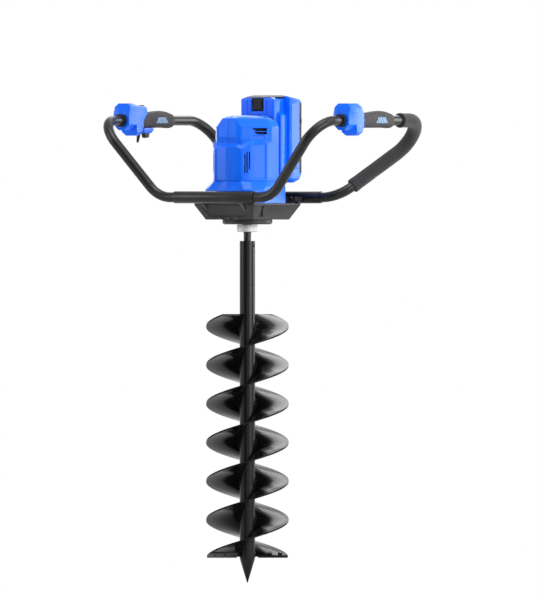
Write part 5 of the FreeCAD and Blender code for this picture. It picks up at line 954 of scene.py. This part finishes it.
def sideShadeStrips():
    # a dark strip lies in the slanting slot of each side face: painted shade in the slot
    for side in (-1, 1):
        corners, normal = (np.array(sideShadeStrip[key]) * (side, 1, 1) for key in ("corners", "normal"))
        plate("side_shade_strip_%d" % (side + 1), corners, normal, sideShadeStrip["thick"], "gearbox_housing", cut=0.8,
              slot="black_plastic", finish=darkShadeSheet)


# a low wall closes the tray between the rear arms
rearWeb = {"corners": [(-84, 99.5, 47.5), (84, 99.5, 47.5), (84, 99.5, 58), (-84, 99.5, 58)], "thick": 2.6}

gussets()
flangeBosses()
plate("rear_wall", rearWeb["corners"], (0, 1, 0), rearWeb["thick"], "gearbox_cover", cut=1.5)
sideShadeStrips()
print("housing details")


# floor, light and camera

studio = {"floorGap": 0.0005, "floorSize": 9.0, "floorWhite": 0.4, "floorFade": (0.5, 2.2), "world": 0.36}


def card(name, corners):
    # a single flat quad
    mesh = bpy.data.meshes.new(name)
    mesh.from_pydata(corners, [], [(0, 1, 2, 3)])
    return linked(name, mesh)


def seenDirectly(tree):
    # a socket that is 1 for what the camera sees itself, in a reflection or through glass
    path = tree.nodes.new("ShaderNodeLightPath")
    seen = path.outputs["Is Camera Ray"]
    for ray in ("Is Glossy Ray", "Is Transmission Ray"):
        either = tree.nodes.new("ShaderNodeMath")
        either.operation = "MAXIMUM"
        tree.links.new(seen, either.inputs[0])
        tree.links.new(path.outputs[ray], either.inputs[1])
        seen = either.outputs[0]
    return seen


def studioFloor():
    # paper that turns into plain white away from the part
    low = cadBounds[0][2] - studio["floorGap"]
    half = studio["floorSize"] / 2
    item = card("floor", [(-half, -half, low), (half, -half, low), (half, half, low), (-half, half, low)])
    s = Shader("floor_paper", Base_Color=finishes["paper"], Roughness=0.9)
    s.drive("Roughness", 0.85 + s.noise(3, 2) * 0.1)
    seen = Value(s, seenDirectly(s.tree))
    glow = s.node("ShaderNodeEmission", None, {"Color": (1, 1, 1, 1), "Strength": 1.0})
    x, y = s.axes()[:2]
    far = (x * x + y * y).math("SQRT").step(*studio["floorFade"])
    white = studio["floorWhite"] + far * (1 - studio["floorWhite"])
    paper = s.node("ShaderNodeMixShader", None, {0: seen * white, 1: Value(s, s.surface.outputs[0]), 2: glow})
    s.tree.links.new(paper.socket, s.tree.nodes["Material Output"].inputs["Surface"])
    item.data.materials.append(s.material)


def studioWorld():
    # white to the camera and in reflections, plain grey as a light
    world = scene.world = bpy.data.worlds.new("studio")
    world.use_nodes = True
    tree = world.node_tree
    background = tree.nodes["Background"].inputs
    mix = tree.nodes.new("ShaderNodeMix")
    mix.data_type = "FLOAT"
    mix.inputs["A"].default_value = studio["world"]
    mix.inputs["B"].default_value = 1.0
    tree.links.new(seenDirectly(tree), mix.inputs["Factor"])
    tree.links.new(mix.outputs["Result"], background["Strength"])
    background["Color"].default_value = (1, 1, 1, 1)


def areaLamp(name, radiance, azimuth, height, reach, size):
    # a rectangular lamp that faces the frame's origin
    lamp = bpy.data.lights.new(name, "AREA")
    lamp.energy = radiance * math.pi * size[0] * size[1]
    lamp.shape = "RECTANGLE"
    lamp.size, lamp.size_y = size
    item = linked(name, lamp)
    turn, rise = math.radians(azimuth), math.radians(height)
    flat = reach * math.cos(rise)
    item.location = flat * math.sin(turn), -flat * math.cos(turn), reach * math.sin(rise)
    item.rotation_euler = (-item.location).to_track_quat("-Z", "Y").to_euler()


flag = {"azimuth": 3, "reach": 3.0, "width": 1.8, "low": -0.88, "high": 1.6}


def studioFlag():
    # a dark card that only glossy surfaces see, for the dark band down round black parts
    turn = math.radians(flag["azimuth"])
    away, across = np.array([math.sin(turn), -math.cos(turn)]), np.array([math.cos(turn), math.sin(turn)])
    ends = [away * flag["reach"] + across * flag["width"] / 2 * side for side in (-1, 1)]
    corners = [(*ends[0], flag["low"]), (*ends[1], flag["low"]), (*ends[1], flag["high"]), (*ends[0], flag["high"])]
    item = card("flag", corners)
    item.data.materials.append(Shader("flag_felt", Base_Color=finishes["felt"], Roughness=1.0).material)
    item.visible_camera = item.visible_diffuse = item.visible_shadow = item.visible_transmission = False


# radiance; azimuth from the front towards the right and height, in degrees; distance and size in metres
lamps = {
    "right_back": (7, 146, 10, 3.2, (1.2, 1.6)), "right": (5.5, 84, 6, 3.2, (2.2, 1.4)),
    "left_front": (4.5, -44, 12, 3.2, (1.0, 1.5)), "right_high": (3.5, 108, 38, 3.0, (1.2, 1.2)),
    "top": (6, 40, 70, 3.0, (1.8, 1.8)), "back_high": (4, 205, 34, 3.2, (1.6, 1.2)),
    "left_back": (1.5, -130, 15, 3.2, (1.0, 1.6)),
}
view = {"azimuth": 33.5, "shift": 0.0556, "height": -0.1774, "extent": 1.459, "distance": 4.0}


def studioCamera():
    # a level camera without perspective, in front of the part and to its right
    turn = math.radians(view["azimuth"])
    across = Vector((math.cos(turn), math.sin(turn), 0))
    target = across * view["shift"] + Vector((0, 0, view["height"]))
    camera = bpy.data.cameras.new("camera")
    camera.type = "ORTHO"
    camera.ortho_scale = view["extent"]
    item = linked("camera", camera)
    item.location = target + Vector((math.sin(turn), -math.cos(turn), 0)) * view["distance"]
    item.rotation_euler = (math.pi / 2, 0, turn)
    scene.camera = item


studioFloor()
studioFlag()
studioWorld()
studioCamera()
for name, lamp in lamps.items():
    areaLamp(name, *lamp)
scene.view_settings.view_transform = "Standard"
